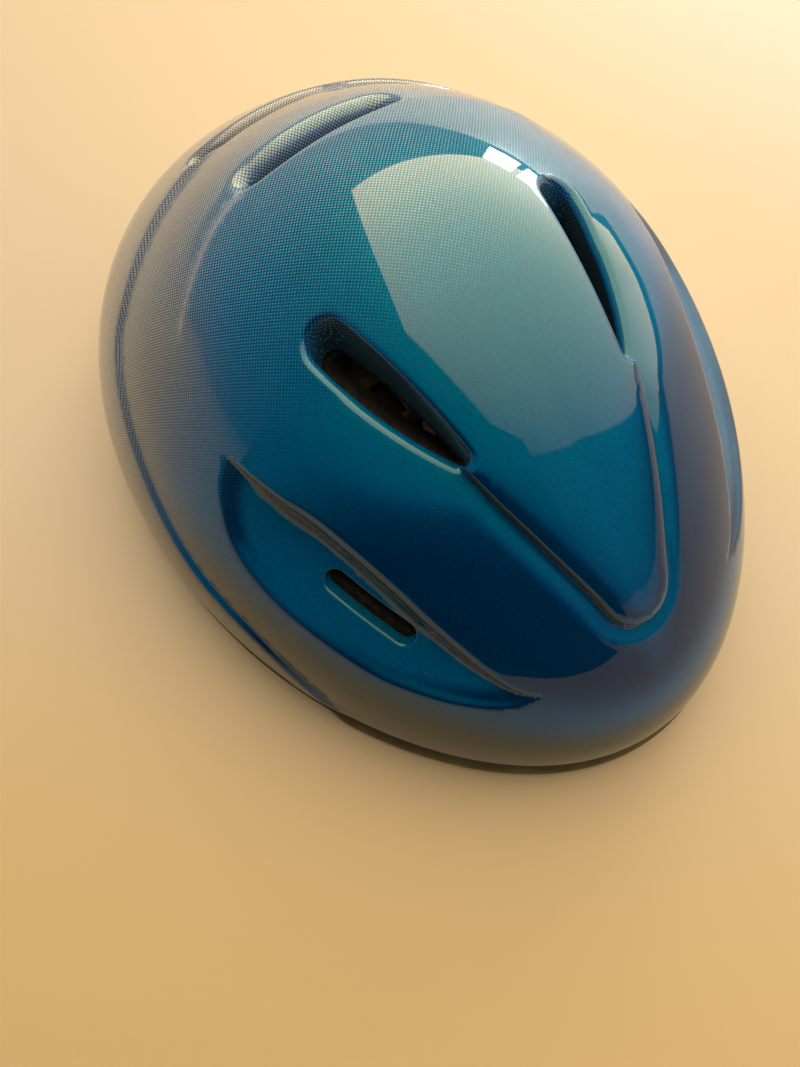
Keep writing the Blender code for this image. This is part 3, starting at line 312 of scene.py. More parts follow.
def past_lip(slot, places):
    """Distance of places from the start of a vent's rolled lip, negative on the lip and inside."""
    rel = places - slot["centre"]
    u, v = rel @ slot["along"], rel @ slot["across"]
    share = np.clip((u / slot["half"] + 1) / 2, 0, 1)
    v = v - slot["bow"] * 4 * share * (1 - share)
    reach = np.hypot(u - np.clip(u, -slot["half"], slot["half"]), v)
    radius = between_ends(slot["radii"], share) + slot["swell"] * 4 * share * (1 - share)
    far = np.linalg.norm(rel, axis=1) > 2 * (slot["half"] + max(slot["radii"]))
    return np.where(far, np.inf, reach - radius)


def vent_ring(slot, gap=0.0, turn=0.0, deep=0.0, inset=0.0, extra=0.0):
    """Ring of points in a vent, at a gap behind the shell's face: a share of the turn of its rolled lip, then a
    share of the way down its flange. Gives disc points, the drop below the face and the way from the start."""
    share = np.linspace(0, 1, round(2 * slot["half"] / NET_STEP) + 1)
    tapers = (slot["radii"][1] - slot["radii"][0] + slot["swell"] * 4 * (1 - 2 * share)) / (2 * slot["half"])
    leaning = np.arcsin(-tapers)
    front = np.linspace(leaning[-1], np.pi - leaning[-1], LOOP_END_POINTS + 2)[1:-1]
    rear = np.linspace(np.pi - leaning[0], 2 * np.pi + leaning[0], LOOP_END_POINTS + 2)[1:-1]
    facing = np.concatenate([leaning, front, (np.pi - leaning)[::-1], rear])
    share = np.concatenate([share, np.ones(len(front)), share[::-1], np.zeros(len(rear))])
    side = np.cos(facing)
    outward = np.sin(facing)[:, None] * slot["along"] + side[:, None] * slot["across"]

    inner = between_ends(slot["inner_lip"], share)
    lip = inner + (between_ends(slot["lip"], share) - inner) * smooth(-1.0, 1.0, side)
    slope = outward @ slot["lean"] - DRAFT
    sweep = np.pi / 2 + np.arctan(slope)
    margin = np.maximum(SHELL_WALL + CLEARANCE + SMALLEST_ROLL - lip, 0.0)
    arc = np.maximum(lip - gap, SMALLEST_ROLL)
    inward = margin + (lip - gap - arc) * np.sin(sweep) + arc * np.sin(turn * sweep) + inset
    rolled = gap + arc * (1 - np.cos(turn * sweep))
    down = deep * (between_ends(slot["flange"], share) + extra - rolled)

    radius = between_ends(slot["radii"], share) + slot["swell"] * 4 * share * (1 - share)
    axis = (slot["centre"] + (slot["half"] * (2 * share - 1))[:, None] * slot["along"]
            + (slot["bow"] * 4 * share * (1 - share))[:, None] * slot["across"])
    points = axis + outward * (radius - inward - DRAFT * down)[:, None] + slot["lean"] * down[:, None]
    return on_dome(points), rolled + down, margin * (turn > 0) + arc * turn * sweep + down * np.hypot(1, slope)


NET_STEP = 0.0021
LINE_STEP = 0.0016
LOOP_END_POINTS = 13


def line_rows():
    """Rows of points along the relief lines, which keep its steps and ridges crisp."""
    plan = [(CROWN_LINE, np.linspace(-0.0014, 0.0042, 8)),
            (SKIRT_LINE, SKIRT_STEP_WIDTH * np.linspace(-0.5, 0.5, 5)),
            (GROOVE_LINE, GROOVE_STEP_WIDTH * np.linspace(-0.5, 0.5, 6)),
            (SCOOP_RIDGE, np.linspace(-0.0024, 0.0056, 11)),
            (SCOOP_LOWER, np.linspace(0, -0.0030, 4))]
    rows = []
    for line, offsets in plan:
        count = round(line["length"][-1] / LINE_STEP) + 1
        even = np.linspace(0, line["length"][-1], count)

        def spread(values):
            return np.stack([np.interp(even, line["length"], values[:, k]) for k in range(3)], axis=1)

        for offset in offsets:
            rows.append(spread(line["places"]) + offset * spread(line["across"]))
    return [on_dome(row * np.array([mirror, 1, 1])) for row in rows for mirror in (1, -1)]


def dome_net():
    """Triangles over the dome between the rim and the start of each vent's lip."""
    edges = []
    discs = []
    loops = []
    total = 0
    for slot in VENTS:
        loop = vent_ring(slot)[0]
        loops.append(np.arange(total, total + len(loop)))
        discs.append(loop)
        total += len(loop)
    outline = np.linspace(-np.pi, np.pi, 181)
    meridian = dome(polar(np.zeros(100), np.linspace(0, RIM_ANGLES.mean(), 100)))
    rings = round(np.linalg.norm(np.diff(meridian, axis=0), axis=1).sum() / NET_STEP)
    grid = [np.zeros((1, 2))]
    for k in range(1, rings + 1):
        ring = dome(polar(outline, edge_angle(outline) * k / rings))
        count = 2 * round(np.linalg.norm(np.diff(ring, axis=0), axis=1).sum() / NET_STEP / 2)
        bearing = -np.pi / 2 + (np.arange(count) + 0.5 * (k % 2)) * 2 * np.pi / count
        grid.append(polar(bearing, edge_angle(bearing) * k / rings))
    rim = grid.pop()
    discs.append(rim)
    loops.append(np.arange(total, total + len(rim)))
    for loop in loops:
        edges += [(int(a), int(b)) for a, b in zip(loop, np.roll(loop, -1))]

    kept = np.vstack(discs)
    batches = [(row, LINE_STEP * 0.33) for row in line_rows()] + [(np.vstack(grid), NET_STEP * 0.62)]
    for extra, room in batches:
        places = dome(extra)
        clear = np.hypot(extra[:, 0], extra[:, 1]) < edge_angle(np.arctan2(extra[:, 1], extra[:, 0])) - 0.008
        for slot in VENTS:
            clear &= past_lip(slot, places) > NET_STEP * 0.4
        taken = KDTree(len(kept))
        for i, place in enumerate(dome(kept)):
            taken.insert(place, i)
        taken.balance()
        clear &= np.array([taken.find(place)[2] > room for place in places])
        kept = np.vstack([kept, extra[clear]])

    flat, _, faces, _, _, _ = delaunay_2d_cdt([Vector(p) for p in kept], edges, [], 0, 1e-9)
    faces = np.array([list(f) for f in faces])
    middle = dome(kept[faces].mean(axis=1))
    keep = ~np.isin(faces, loops[-1]).all(1)
    for slot, loop in zip(VENTS, loops):
        keep &= ~(np.isin(faces, loop).all(1) & (past_lip(slot, middle) < 0))
    return kept, faces[keep], loops


# The rings that lead down into a vent: over the shell's lip and flange and back up behind them, and down the
# hole in the liner to the shelf under the flange and on through
SHELL_RINGS = [dict(turn=turn) for turn in (0.13, 0.26, 0.39, 0.51, 0.62, 0.72, 0.82, 0.91, 1.0)]
SHELL_RINGS += [dict(turn=1, deep=deep) for deep in (0.33, 0.66, 0.96)]
SHELL_RINGS += [dict(gap=gap, turn=1, deep=1) for gap in (FLANGE_ROUND, SHELL_WALL - FLANGE_ROUND)]
SHELL_RINGS += [dict(gap=SHELL_WALL, turn=1, deep=deep) for deep in (0.95, 0.5, 0)]
SHELL_RINGS += [dict(gap=SHELL_WALL, turn=turn) for turn in (0.75, 0.5, 0.25)]
LINER_RINGS = [dict(gap=SHELL_WALL + CLEARANCE, turn=turn) for turn in (0.25, 0.5, 0.75, 1.0)]
LINER_RINGS += [dict(gap=SHELL_WALL + CLEARANCE, turn=1, deep=1, extra=CLEARANCE)]
LINER_RINGS += [dict(turn=1, deep=1, inset=LINER_SHELF, extra=CLEARANCE)] * 2


def helmet_net():
    """The dome net, with the rings that lead from its loops down into every vent."""
    disc, faces, loops = dome_net()
    discs, drops, ways = [disc], [np.zeros(len(disc))], [np.zeros(len(disc))]
    held = [np.arange(len(disc))] * 3
    starts, leads, rests = [[h] for h in held]
    total = len(disc)
    rings = {}
    for v, (slot, loop) in enumerate(zip(VENTS, loops)):
        for name, plan in (("shell", SHELL_RINGS), ("liner", LINER_RINGS)):
            rings[v, name] = []
            for ring in plan:
                points, drop, way = vent_ring(slot, **ring)
                index = np.arange(total, total + len(points))
                rings[v, name].append(index)
                if ring.get("deep", 0) == 0:
                    rest = index
                discs.append(points)
                drops.append(drop)
                ways.append(way)
                starts.append(loop)
                leads.append(rings[v, name][0])
                rests.append(rest)
                total += len(points)
    disc = np.vstack(discs)
    base = dome(disc)
    height = relief(base)
    level = height[np.concatenate(rests)] - np.concatenate(drops)
    for v in range(len(VENTS)):
        level[rings[v, "liner"][-1]] = -LINER_DEPTH
    return dict(disc=disc, faces=faces, rim=loops[-1], loops=loops, rings=rings, base=base, level=level,
                normal=dome_normals(disc), way=np.concatenate(ways), start=np.concatenate(starts),
                lead=np.concatenate(leads))


def band(upper, lower):
    return [(a, b, d, c) for a, b, c, d in zip(upper, np.roll(upper, -1), lower, np.roll(lower, -1))]


def layered_solid(name, net, top, bottom, rings):
    """A closed wall between two levels over the dome, joined through each vent by a set of rings.

    Returns the object, and for each of its points the net point that it came from."""
    count = len(net["base"])
    points = np.vstack([net["base"] + net["normal"] * level[:, None] for level in (top, bottom)])
    faces = [tuple(f) for f in net["faces"]] + [tuple(f[::-1] + count) for f in net["faces"]]
    faces += band(net["rim"], net["rim"] + count)
    for v, loop in enumerate(net["loops"][:-1]):
        path = [loop, *net["rings"][v, rings], loop + count]
        for upper, lower in zip(path, path[1:]):
            faces += band(upper, lower)
    used = np.unique(np.concatenate([np.array(f) for f in faces]))
    renumber = np.full(len(points), -1)
    renumber[used] = np.arange(len(used))
    piece = mesh_piece(name, points[used], [tuple(int(i) for i in renumber[list(f)]) for f in faces])
    return piece, used % count


def mesh_piece(name, points, faces, sharp=40):
    """A smooth-shaded mesh with its faces turned outwards; edges sharper than an angle in degrees stay crisp."""
    mesh = bpy.data.meshes.new(name)
    mesh.from_pydata([tuple(p) for p in points], [], faces)
    work = bmesh.new()
    work.from_mesh(mesh)
    bmesh.ops.recalc_face_normals(work, faces=work.faces)
    work.to_mesh(mesh)
    work.free()
    mesh.shade_smooth()
    mesh.set_sharp_from_angle(angle=np.radians(sharp))
    piece = bpy.data.objects.new(name, mesh)
    bpy.context.scene.collection.objects.link(piece)
    return piece


def add(tree, kind, inputs=None, **settings):
    """A node with its settings, and with its inputs given as values or as the sockets that feed them."""
    made = tree.nodes.new(kind)
    for key, value in settings.items():
        setattr(made, key, value)
    for key, value in (inputs or {}).items():
        if isinstance(value, bpy.types.NodeSocket):
            tree.links.new(value, made.inputs[key])
        else:
            made.inputs[key].default_value = value
    return made


def maths(tree, operation, *values):
    return add(tree, "ShaderNodeMath", dict(enumerate(values)), operation=operation).outputs[0]


def mixed(tree, share, first, second):
    """Colour between two colours."""
    node = add(tree, "ShaderNodeMix", {"Factor": share, 6: first, 7: second}, data_type="RGBA")
    return node.outputs[2]


def ramped(tree, value, low, high, to_low=0.0, to_high=1.0):
    """A value carried from one range to another, eased and clamped."""
    node = add(tree, "ShaderNodeMapRange", {"Value": value, "From Min": low, "From Max": high,
                                            "To Min": to_low, "To Max": to_high}, interpolation_type="SMOOTHSTEP")
    return node.outputs[0]


def finish_for(name, roughness, **sockets):
    """A material with one Principled shader, and the sockets that are the same all over it."""
    finish = bpy.data.materials.new(name)
    finish.use_nodes = True
    shader = finish.node_tree.nodes["Principled BSDF"]
    shader.inputs["Roughness"].default_value = roughness
    for key, value in sockets.items():
        shader.inputs[key.replace("_", " ")].default_value = value
    return finish, finish.node_tree, shader


def node_group(name, inputs, outputs):
    """A shader node group with named sockets, and its two end nodes."""
    tree = bpy.data.node_groups.new(name, "ShaderNodeTree")
    for label, kind, value in inputs:
        made = tree.interface.new_socket(label, in_out="INPUT", socket_type=kind)
        if value is not None:
            made.default_value = value
    for label, kind in outputs:
        tree.interface.new_socket(label, in_out="OUTPUT", socket_type=kind)
    return tree, tree.nodes.new("NodeGroupInput"), tree.nodes.new("NodeGroupOutput")


def blue_lacquer():
    """Blue pearl that runs to silver at the rear, printed with rows of dots that fade out forwards. Its blue carries
    painted
    light and shade: teal on faces turned up, dark grey-teal on faces turned down, and navy on faces turned forwards
    and sideways, less so in the deep side scoops.
    """
    finish, tree, shader = finish_for("blue_pearl_lacquer", 0.40, Metallic=0.10, Specular_IOR_Level=0.0,
                                      Coat_Weight=0.9, Coat_Roughness=0.02, Coat_IOR=1.45)
    where = add(tree, "ShaderNodeTexCoord")
    place = add(tree, "ShaderNodeSeparateXYZ", {0: where.outputs["Object"]})
    facing = add(tree, "ShaderNodeSeparateXYZ", {0: where.outputs["Normal"]})
    x, y = place.outputs[0], place.outputs[1]
    sideways = maths(tree, "ABSOLUTE", x)

    pearl = add(tree, "ShaderNodeTexNoise", {"Vector": where.outputs["Object"], "Scale": 1800.0, "Detail": 2.0})
    cloud = add(tree, "ShaderNodeTexNoise", {"Vector": where.outputs["Object"], "Scale": 14.0, "Detail": 3.0})
    # Teal on faces turned up: painted light.
    up = ramped(tree, facing.outputs[2], 0.60, 1.0)
    blue = mixed(tree, up, (0.0, 0.150, 0.385, 1.0), (0.0, 0.165, 0.225, 1.0))
    teal = ramped(tree, cloud.outputs[0], 0.40, 0.62, 0.0, 0.35)
    blue = mixed(tree, teal, blue, (0.0, 0.175, 0.290, 1.0))
    # Dark grey-teal on faces turned down: painted shade.
    low = ramped(tree, facing.outputs[2], 0.48, 0.22)
    blue = mixed(tree, low, blue, (0.030, 0.062, 0.075, 1.0))
    # Navy on faces turned forwards and to the sides, away from the key light, with less of it in the deep side
    # scoops: painted shade.
    sides = maths(tree, "MULTIPLY", maths(tree, "ABSOLUTE", facing.outputs[0]), -0.85)
    painted_navy_shade = maths(tree, "ADD", maths(tree, "MULTIPLY", facing.outputs[1], 1.25), sides)
    painted_navy_shade = maths(tree, "MULTIPLY", ramped(tree, painted_navy_shade, -0.84, -1.12), ramped(tree, facing.outputs[2], 0.36, 0.56))
    hollow = add(tree, "ShaderNodeAttribute", attribute_name="hollow").outputs["Fac"]
    painted_navy_shade = maths(tree, "MULTIPLY", painted_navy_shade, ramped(tree, hollow, 0.0030, 0.0014))
    blue = mixed(tree, painted_navy_shade, blue, (0.0, 0.042, 0.130, 1.0))
    uv = add(tree, "ShaderNodeUVMap", uv_map="print")
    spot = add(tree, "ShaderNodeSeparateXYZ", {0: uv.outputs[0]})
    round_crown = add(tree, "ShaderNodeVectorMath", {0: uv.outputs[0]}, operation="LENGTH").outputs["Value"]
    rear = maths(tree, "MULTIPLY", ramped(tree, round_crown, 0.058, 0.085), ramped(tree, y, -0.015, 0.035))
    body = mixed(tree, rear, blue, (0.150, 0.155, 0.155, 1.0))
    pitch = 0.0009 * 2 ** 0.5
    offsets = []
    for sign in ("ADD", "SUBTRACT"):
        diagonal = maths(tree, "DIVIDE", maths(tree, sign, spot.outputs[0], spot.outputs[1]), pitch)
        offset = maths(tree, "SUBTRACT", maths(tree, "FRACT", diagonal), 0.5)
        offsets.append(maths(tree, "MULTIPLY", offset, offset))
    nearest = maths(tree, "SQRT", maths(tree, "ADD", *offsets))
    start = maths(tree, "ADD", maths(tree, "MULTIPLY", sideways, 0.17), -0.038)
    size = ramped(tree, maths(tree, "SUBTRACT", y, start), 0.0, 0.090, 0.10, 0.36)
    inside = maths(tree, "SUBTRACT", size, nearest)
    dot = ramped(tree, inside, -0.06, 0.06)
    dot = maths(tree, "MULTIPLY", dot, ramped(tree, maths(tree, "SUBTRACT", y, start), 0.0, 0.020))
    silver = mixed(tree, ramped(tree, y, -0.03, 0.08), (0.20, 0.42, 0.58, 1.0), (0.52, 0.53, 0.52, 1.0))
    body = mixed(tree, dot, body, silver)

    glitter = ramped(tree, pearl.outputs[0], 0.35, 0.70, 0.88, 1.14)
    body = add(tree, "ShaderNodeMix", {"Factor": 1.0, 6: body, 7: glitter}, data_type="RGBA",
               blend_type="MULTIPLY").outputs[2]
    tree.links.new(body, shader.inputs["Base Color"])
    wear = add(tree, "ShaderNodeTexNoise", {"Vector": where.outputs["Object"], "Scale": 90.0, "Detail": 5.0})
    tree.links.new(ramped(tree, wear.outputs[0], 0.35, 0.75, 0.34, 0.46), shader.inputs["Roughness"])
    peel = add(tree, "ShaderNodeTexNoise", {"Vector": where.outputs["Object"], "Scale": 420.0, "Detail": 1.0})
    bump = add(tree, "ShaderNodeBump", {"Strength": 0.03, "Distance": 0.0004, "Height": peel.outputs[0]})
    tree.links.new(bump.outputs[0], shader.inputs["Normal"])
    return finish


net = helmet_net()


shell, shell_source = layered_solid("helmet_shell", net, net["level"], net["level"] - SHELL_WALL, "shell")
# The relief's depth below the dome, which the lacquer reads to keep its painted navy shade out of the side scoops.
hollow = shell.data.attributes.new("hollow", "FLOAT", "POINT")
hollow.data.foreach_set("value", np.maximum(-net["level"], 0.0)[shell_source].astype(np.float32))
PRINT_SCALE = np.array([0.112, 0.125])
corner = np.empty(len(shell.data.loops), dtype=np.int32)
shell.data.loops.foreach_get("vertex_index", corner)
print_map = shell.data.uv_layers.new(name="print")
flat_print = net["disc"] * PRINT_SCALE
inward = flat_print[net["lead"]] - flat_print[net["start"]]
inward /= np.maximum(np.linalg.norm(inward, axis=1, keepdims=True), 1e-9)
flat_print = flat_print[net["start"]] + inward * net["way"][:, None]
print_map.data.foreach_set("uv", flat_print[shell_source][corner].astype(np.float32).ravel())
shell.data.materials.append(blue_lacquer())
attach(shell, "helmet")
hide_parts("outer_shell")

# Foam liner: black expanded foam moulded in one piece, which takes the blows. Its beads show in the vents and
# on the inside, and the shell's flanges rest on a small shelf in it round every vent.


def black_foam():
    finish, tree, shader = finish_for("black_bead_foam", 0.8)
    where = add(tree, "ShaderNodeTexCoord")
    bead = add(tree, "ShaderNodeTexVoronoi", {"Vector": where.outputs["Object"], "Scale": 260.0})
    edge = add(tree, "ShaderNodeTexVoronoi", {"Vector": where.outputs["Object"], "Scale": 260.0},
               feature="DISTANCE_TO_EDGE")
    seam = ramped(tree, edge.outputs[0], 0.0, 0.12)
    shade = mixed(tree, bead.outputs["Color"], (0.008, 0.008, 0.009, 1.0), (0.020, 0.020, 0.021, 1.0))
    shade = mixed(tree, seam, (0.003, 0.003, 0.003, 1.0), shade)
    tree.links.new(shade, shader.inputs["Base Color"])
    bump = add(tree, "ShaderNodeBump", {"Strength": 0.5, "Distance": 0.0004, "Height": seam})
    tree.links.new(bump.outputs[0], shader.inputs["Normal"])
    return finish


liner, _ = layered_solid("bead_foam_liner", net, net["level"] - SHELL_WALL - CLEARANCE,
                         np.full(len(net["base"]), -LINER_DEPTH), "liner")
liner.data.materials.append(black_foam())
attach(liner, "helmet")
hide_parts("foam_liner")

# Rim trim: a moulded edge that closes the shell and foam underneath, taller over the brow; its olive-brown is partly
# its own dark colour and partly a painted warm reflection of the table.
# It is pressed and bonded on, and the helmet stands on it.
TRIM_BULGE = 0.30
TRIM_FOOT_INSET = 0.0012
TRIM_INNER_INSET = 0.0015


def trim_painted_warm():
    finish, tree, shader = finish_for("moulded_trim_painted_warm_reflection", 0.42)
    where = add(tree, "ShaderNodeTexCoord")
    grain = add(tree, "ShaderNodeTexNoise", {"Vector": where.outputs["Object"], "Scale": 900.0, "Detail": 2.0})
    patch = add(tree, "ShaderNodeTexNoise", {"Vector": where.outputs["Object"], "Scale": 60.0, "Detail": 4.0})
    # Olive-brown base: dark trim with a painted warm reflection of the table, made lighter where it sits in shade.
    shade = mixed(tree, ramped(tree, patch.outputs[0], 0.35, 0.65), (0.105, 0.080, 0.028, 1.0),
                  (0.150, 0.115, 0.044, 1.0))
    tree.links.new(shade, shader.inputs["Base Color"])
    tree.links.new(ramped(tree, grain.outputs[0], 0.3, 0.7, 0.34, 0.55), shader.inputs["Roughness"])
    bump = add(tree, "ShaderNodeBump", {"Strength": 0.15, "Distance": 0.0002, "Height": grain.outputs[0]})
    tree.links.new(bump.outputs[0], shader.inputs["Normal"])
    return finish


def trim_ring():
    bearing = np.linspace(-np.pi, np.pi, 420, endpoint=False)
    disc = polar(bearing, edge_angle(bearing))
    edge, normal = dome(disc), dome_normals(disc)
    outward = normal * np.array([1, 1, 0])
    outward /= np.linalg.norm(outward, axis=1, keepdims=True)

    def under(depth):
        place = edge - normal * depth
        place[:, 2] -= CLEARANCE
        return place

    def level(depth, share, proud=0.0):
        place = edge - outward * (depth - proud * edge[:, 2:])
        place[:, 2] = edge[:, 2] * share
        return place

    turns = np.linspace(0.15, 0.9, 7)
    side = [level(TRIM_FOOT_INSET * t ** 3, 1 - t, TRIM_BULGE * np.sin(np.pi * t)) for t in turns]
    section = [under(0.0), *side, level(TRIM_FOOT_INSET + 0.0006, 0.0),
               level(LINER_DEPTH - TRIM_INNER_INSET - 0.0008, 0.0),
               level(LINER_DEPTH - TRIM_INNER_INSET, 0.25), under(LINER_DEPTH - TRIM_INNER_INSET / 2)]
    count = len(disc)
    faces = []
    for k in range(len(section)):
        this, after = np.arange(count) + k * count, np.arange(count) + (k + 1) % len(section) * count
        faces += [tuple(int(i) for i in f) for f in band(this, after)]
    return mesh_piece("moulded_rim_trim", np.vstack(section), faces, 50)


trim = trim_ring()
trim.data.materials.append(trim_painted_warm())
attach(trim, "helmet")
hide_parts("rim_trim")

# Hook tape: six round patches of black nylon hook tape, glued to the foam, which the pads cling to.
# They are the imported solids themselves, with their rows of tiny hooks in the material.
HOOK_PITCH = 0.0011


def hook_tape():
    finish, tree, shader = finish_for("black_hook_tape", 0.6)
    where = add(tree, "ShaderNodeTexCoord")
    hooks = add(tree, "ShaderNodeTexVoronoi", {"Vector": where.outputs["Object"], "Scale": 1 / HOOK_PITCH,
                                               "Randomness": 0.35})
    tip = ramped(tree, hooks.outputs["Distance"], 0.45, 0.15)
    # Hook tips lighter than the tape between them: painted shade at the foot of the hooks.
    shade = mixed(tree, tip, (0.004, 0.004, 0.004, 1.0), (0.045, 0.045, 0.047, 1.0))
    tree.links.new(shade, shader.inputs["Base Color"])
    tree.links.new(ramped(tree, tip, 0.0, 1.0, 0.85, 0.45), shader.inputs["Roughness"])
    bump = add(tree, "ShaderNodeBump", {"Strength": 0.9, "Distance": 0.0008, "Height": tip})
    tree.links.new(bump.outputs[0], shader.inputs["Normal"])
    return finish


tape = hook_tape()
for patch in ("brow_left", "brow_right", "crown", "rear", "left_side", "right_side"):
    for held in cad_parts[patch + "_hook"].material_slots:
        held.material = tape

# Fit pads: five black foam pads in brushed knit, bound with a woven tape round the edge and sewn through
# just inside it. They press onto the hook tape and come off to be washed.
PADS = {"brow": (-90, 79, 36, 8.5), "rear": (90, 76, 34, 9.5), "left_side": (2, 68, 9, 10),
        "right_side": (178, 68, 9, 10)}
CROWN_PAD_CENTRE_Y = -0.014
CROWN_PAD_HALF = (0.019, 0.034)
HOOK_THICKNESS = 0.0010
PAD_BACK = LINER_DEPTH + HOOK_THICKNESS + 2 * CLEARANCE
PAD_THICKNESS = 0.0065
PAD_EDGE = 0.0025
PAD_SHRINK = 0.94
PAD_VOXEL = 0.0022
PAD_PRESSURE = 4.0
PAD_SWELL = 0.0012
BINDING_RADIUS = 0.0009
SEAM_SHARE = 0.80
STITCH_SPACING = 0.0026
STITCH_LENGTH = 0.0019
STITCH_THICKNESS = 0.0005


def rounded(count, power):
    turn = np.arange(count) * 2 * np.pi / count
    return np.stack([np.sign(np.cos(turn)) * np.abs(np.cos(turn)) ** power,
                     np.sign(np.sin(turn)) * np.abs(np.sin(turn)) ** power], axis=1)


def pad_ring(name, share, count):
    """Disc points round a pad, at a share of the way from its middle to its edge."""
    if name == "crown":
        ring = rounded(count, 0.7) * np.array(CROWN_PAD_HALF) * share + np.array([0.0, CROWN_PAD_CENTRE_Y])
        return on_dome(np.column_stack([ring, np.full(len(ring), HEIGHT)]))
    bearing, angle, half_bearing, half_angle = PADS[name]
    ring = rounded(count, 0.5) * share
    return polar(np.radians(bearing + half_bearing * ring[:, 0]), np.radians(angle + half_angle * ring[:, 1]))


def under_dome(disc, depth):
    return dome(disc) - dome_normals(disc) * np.reshape(depth, (-1, 1))


def pad_blank(name):
    """A pad before it is stuffed: a closed lens, a little smaller than the finished pad."""
    count = 96
    shares = np.linspace(1.0, 0.08, 10)
    front = [(s, PAD_BACK + PAD_EDGE + (PAD_THICKNESS - PAD_EDGE - PAD_SWELL / 2) * (1 - s ** 3)) for s in shares]
    rings = [(s, PAD_BACK + PAD_SWELL / 2) for s in shares[::-1]] + front
    points = np.vstack([under_dome(pad_ring(name, s * PAD_SHRINK, count), depth) for s, depth in rings])
    faces = []
    for k in range(len(rings) - 1):
        upper = np.arange(count) + k * count
        faces += [tuple(int(i) for i in f) for f in band(upper, upper + count)]
    faces += [tuple(range(count)), tuple(range(len(points) - count, len(points)))]
    return mesh_piece(name + "_fit_pad", points, faces)


def settled(piece):
    """Replaces a piece's mesh by what its modifiers make of it."""
    graph = bpy.context.evaluated_depsgraph_get()
    mesh = bpy.data.meshes.new_from_object(piece.evaluated_get(graph))
    piece.modifiers.clear()
    piece.data = mesh


def corners(mesh):
    places = np.empty(len(mesh.vertices) * 3)
    mesh.vertices.foreach_get("co", places)
    return places.reshape(-1, 3)


def stuff(pads):
    """Swells the pads with a short cloth simulation and lays their backs on the tape."""
    for pad in pads:
        even = pad.modifiers.new("even", "REMESH")
        even.mode = "VOXEL"
        even.voxel_size = PAD_VOXEL
        settled(pad)
    slack = [corners(pad.data) for pad in pads]
    for pad in pads:
        cloth = pad.modifiers.new("stuffing", "CLOTH")
        cloth.settings.use_pressure = True
        cloth.settings.uniform_pressure_force = PAD_PRESSURE
        cloth.settings.effector_weights.gravity = 0.0
        cloth.point_cache.frame_end = 20
    for step in range(1, 21):
        bpy.context.scene.frame_set(step)
    for pad in pads:
        settled(pad)
    bpy.context.scene.frame_set(1)
    for pad, before in zip(pads, slack):
        after = corners(pad.data)
        move = after - before
        far = np.maximum(np.linalg.norm(move, axis=1, keepdims=True), 1e-9)
        after = before + move * np.minimum(1.0, PAD_SWELL / far)
        disc = on_dome(after)
        depth = -((after - dome(disc)) * dome_normals(disc)).sum(1)
        after = under_dome(disc, np.clip(depth, PAD_BACK, PAD_BACK + PAD_THICKNESS))
        pad.data.vertices.foreach_set("co", after.ravel())
        finer = pad.modifiers.new("finer", "SUBSURF")
        finer.levels = finer.render_levels = 1
        settled(pad)
        pad.data.shade_smooth()


def brushed_knit():
    """Black knit: fine raised loops, a soft nap and a little grey where it is rubbed."""
    finish, tree, shader = finish_for("black_brushed_knit", 0.95, Sheen_Weight=0.35, Sheen_Roughness=0.5)
    where = add(tree, "ShaderNodeTexCoord")
    loops = add(tree, "ShaderNodeTexVoronoi", {"Vector": where.outputs["Object"], "Scale": 1100.0,
                                               "Randomness": 0.3})
    nap = add(tree, "ShaderNodeTexNoise", {"Vector": where.outputs["Object"], "Scale": 2600.0, "Detail": 2.0})
    rub = add(tree, "ShaderNodeTexNoise", {"Vector": where.outputs["Object"], "Scale": 55.0, "Detail": 3.0})
    loop = ramped(tree, loops.outputs["Distance"], 0.55, 0.10)
    # Loops lighter than the gaps between them: painted shade between the loops.
    shade = mixed(tree, loop, (0.007, 0.007, 0.008, 1.0), (0.026, 0.026, 0.030, 1.0))
    shade = mixed(tree, ramped(tree, rub.outputs[0], 0.5, 0.75, 0.0, 0.35), shade, (0.050, 0.050, 0.054, 1.0))
    tree.links.new(shade, shader.inputs["Base Color"])
    height = maths(tree, "ADD", loop, maths(tree, "MULTIPLY", nap.outputs[0], 0.5))
    bump = add(tree, "ShaderNodeBump", {"Strength": 0.6, "Distance": 0.0003, "Height": height})
    tree.links.new(bump.outputs[0], shader.inputs["Normal"])
    return finish


def thread_weave():
    """Ribs of thread that step past each other, from a place in metres along and across a woven band."""
    tree, given, put = node_group("thread_weave", [("Place", "NodeSocketVector", None),
                                                   ("Rib", "NodeSocketFloat", 0.0011),
                                                   ("Pick", "NodeSocketFloat", 0.0012)],
                                  [("Height", "NodeSocketFloat"), ("Tone", "NodeSocketFloat")])
    place = add(tree, "ShaderNodeSeparateXYZ", {0: given.outputs["Place"]})
    across = maths(tree, "DIVIDE", place.outputs[0], given.outputs["Rib"])
    along = maths(tree, "DIVIDE", place.outputs[1], given.outputs["Pick"])
    row = maths(tree, "FLOOR", across)
    along = maths(tree, "ADD", along, maths(tree, "MULTIPLY", row, 0.5))
    rib = maths(tree, "ABSOLUTE", maths(tree, "SINE", maths(tree, "MULTIPLY", across, np.pi)))
    pick = maths(tree, "ABSOLUTE", maths(tree, "SINE", maths(tree, "MULTIPLY", along, np.pi)))
    height = maths(tree, "MULTIPLY", maths(tree, "SQRT", rib), maths(tree, "ADD", maths(tree, "MULTIPLY", pick, 0.6),
                                                                       0.4))
    tree.links.new(height, put.inputs["Height"])
    thread = maths(tree, "ADD", maths(tree, "MULTIPLY", row, 7.3), maths(tree, "FLOOR", along))
    tone = add(tree, "ShaderNodeTexWhiteNoise", {"W": thread}, noise_dimensions="1D")
    tree.links.new(tone.outputs["Value"], put.inputs["Tone"])
    return tree


WEAVE = thread_weave()


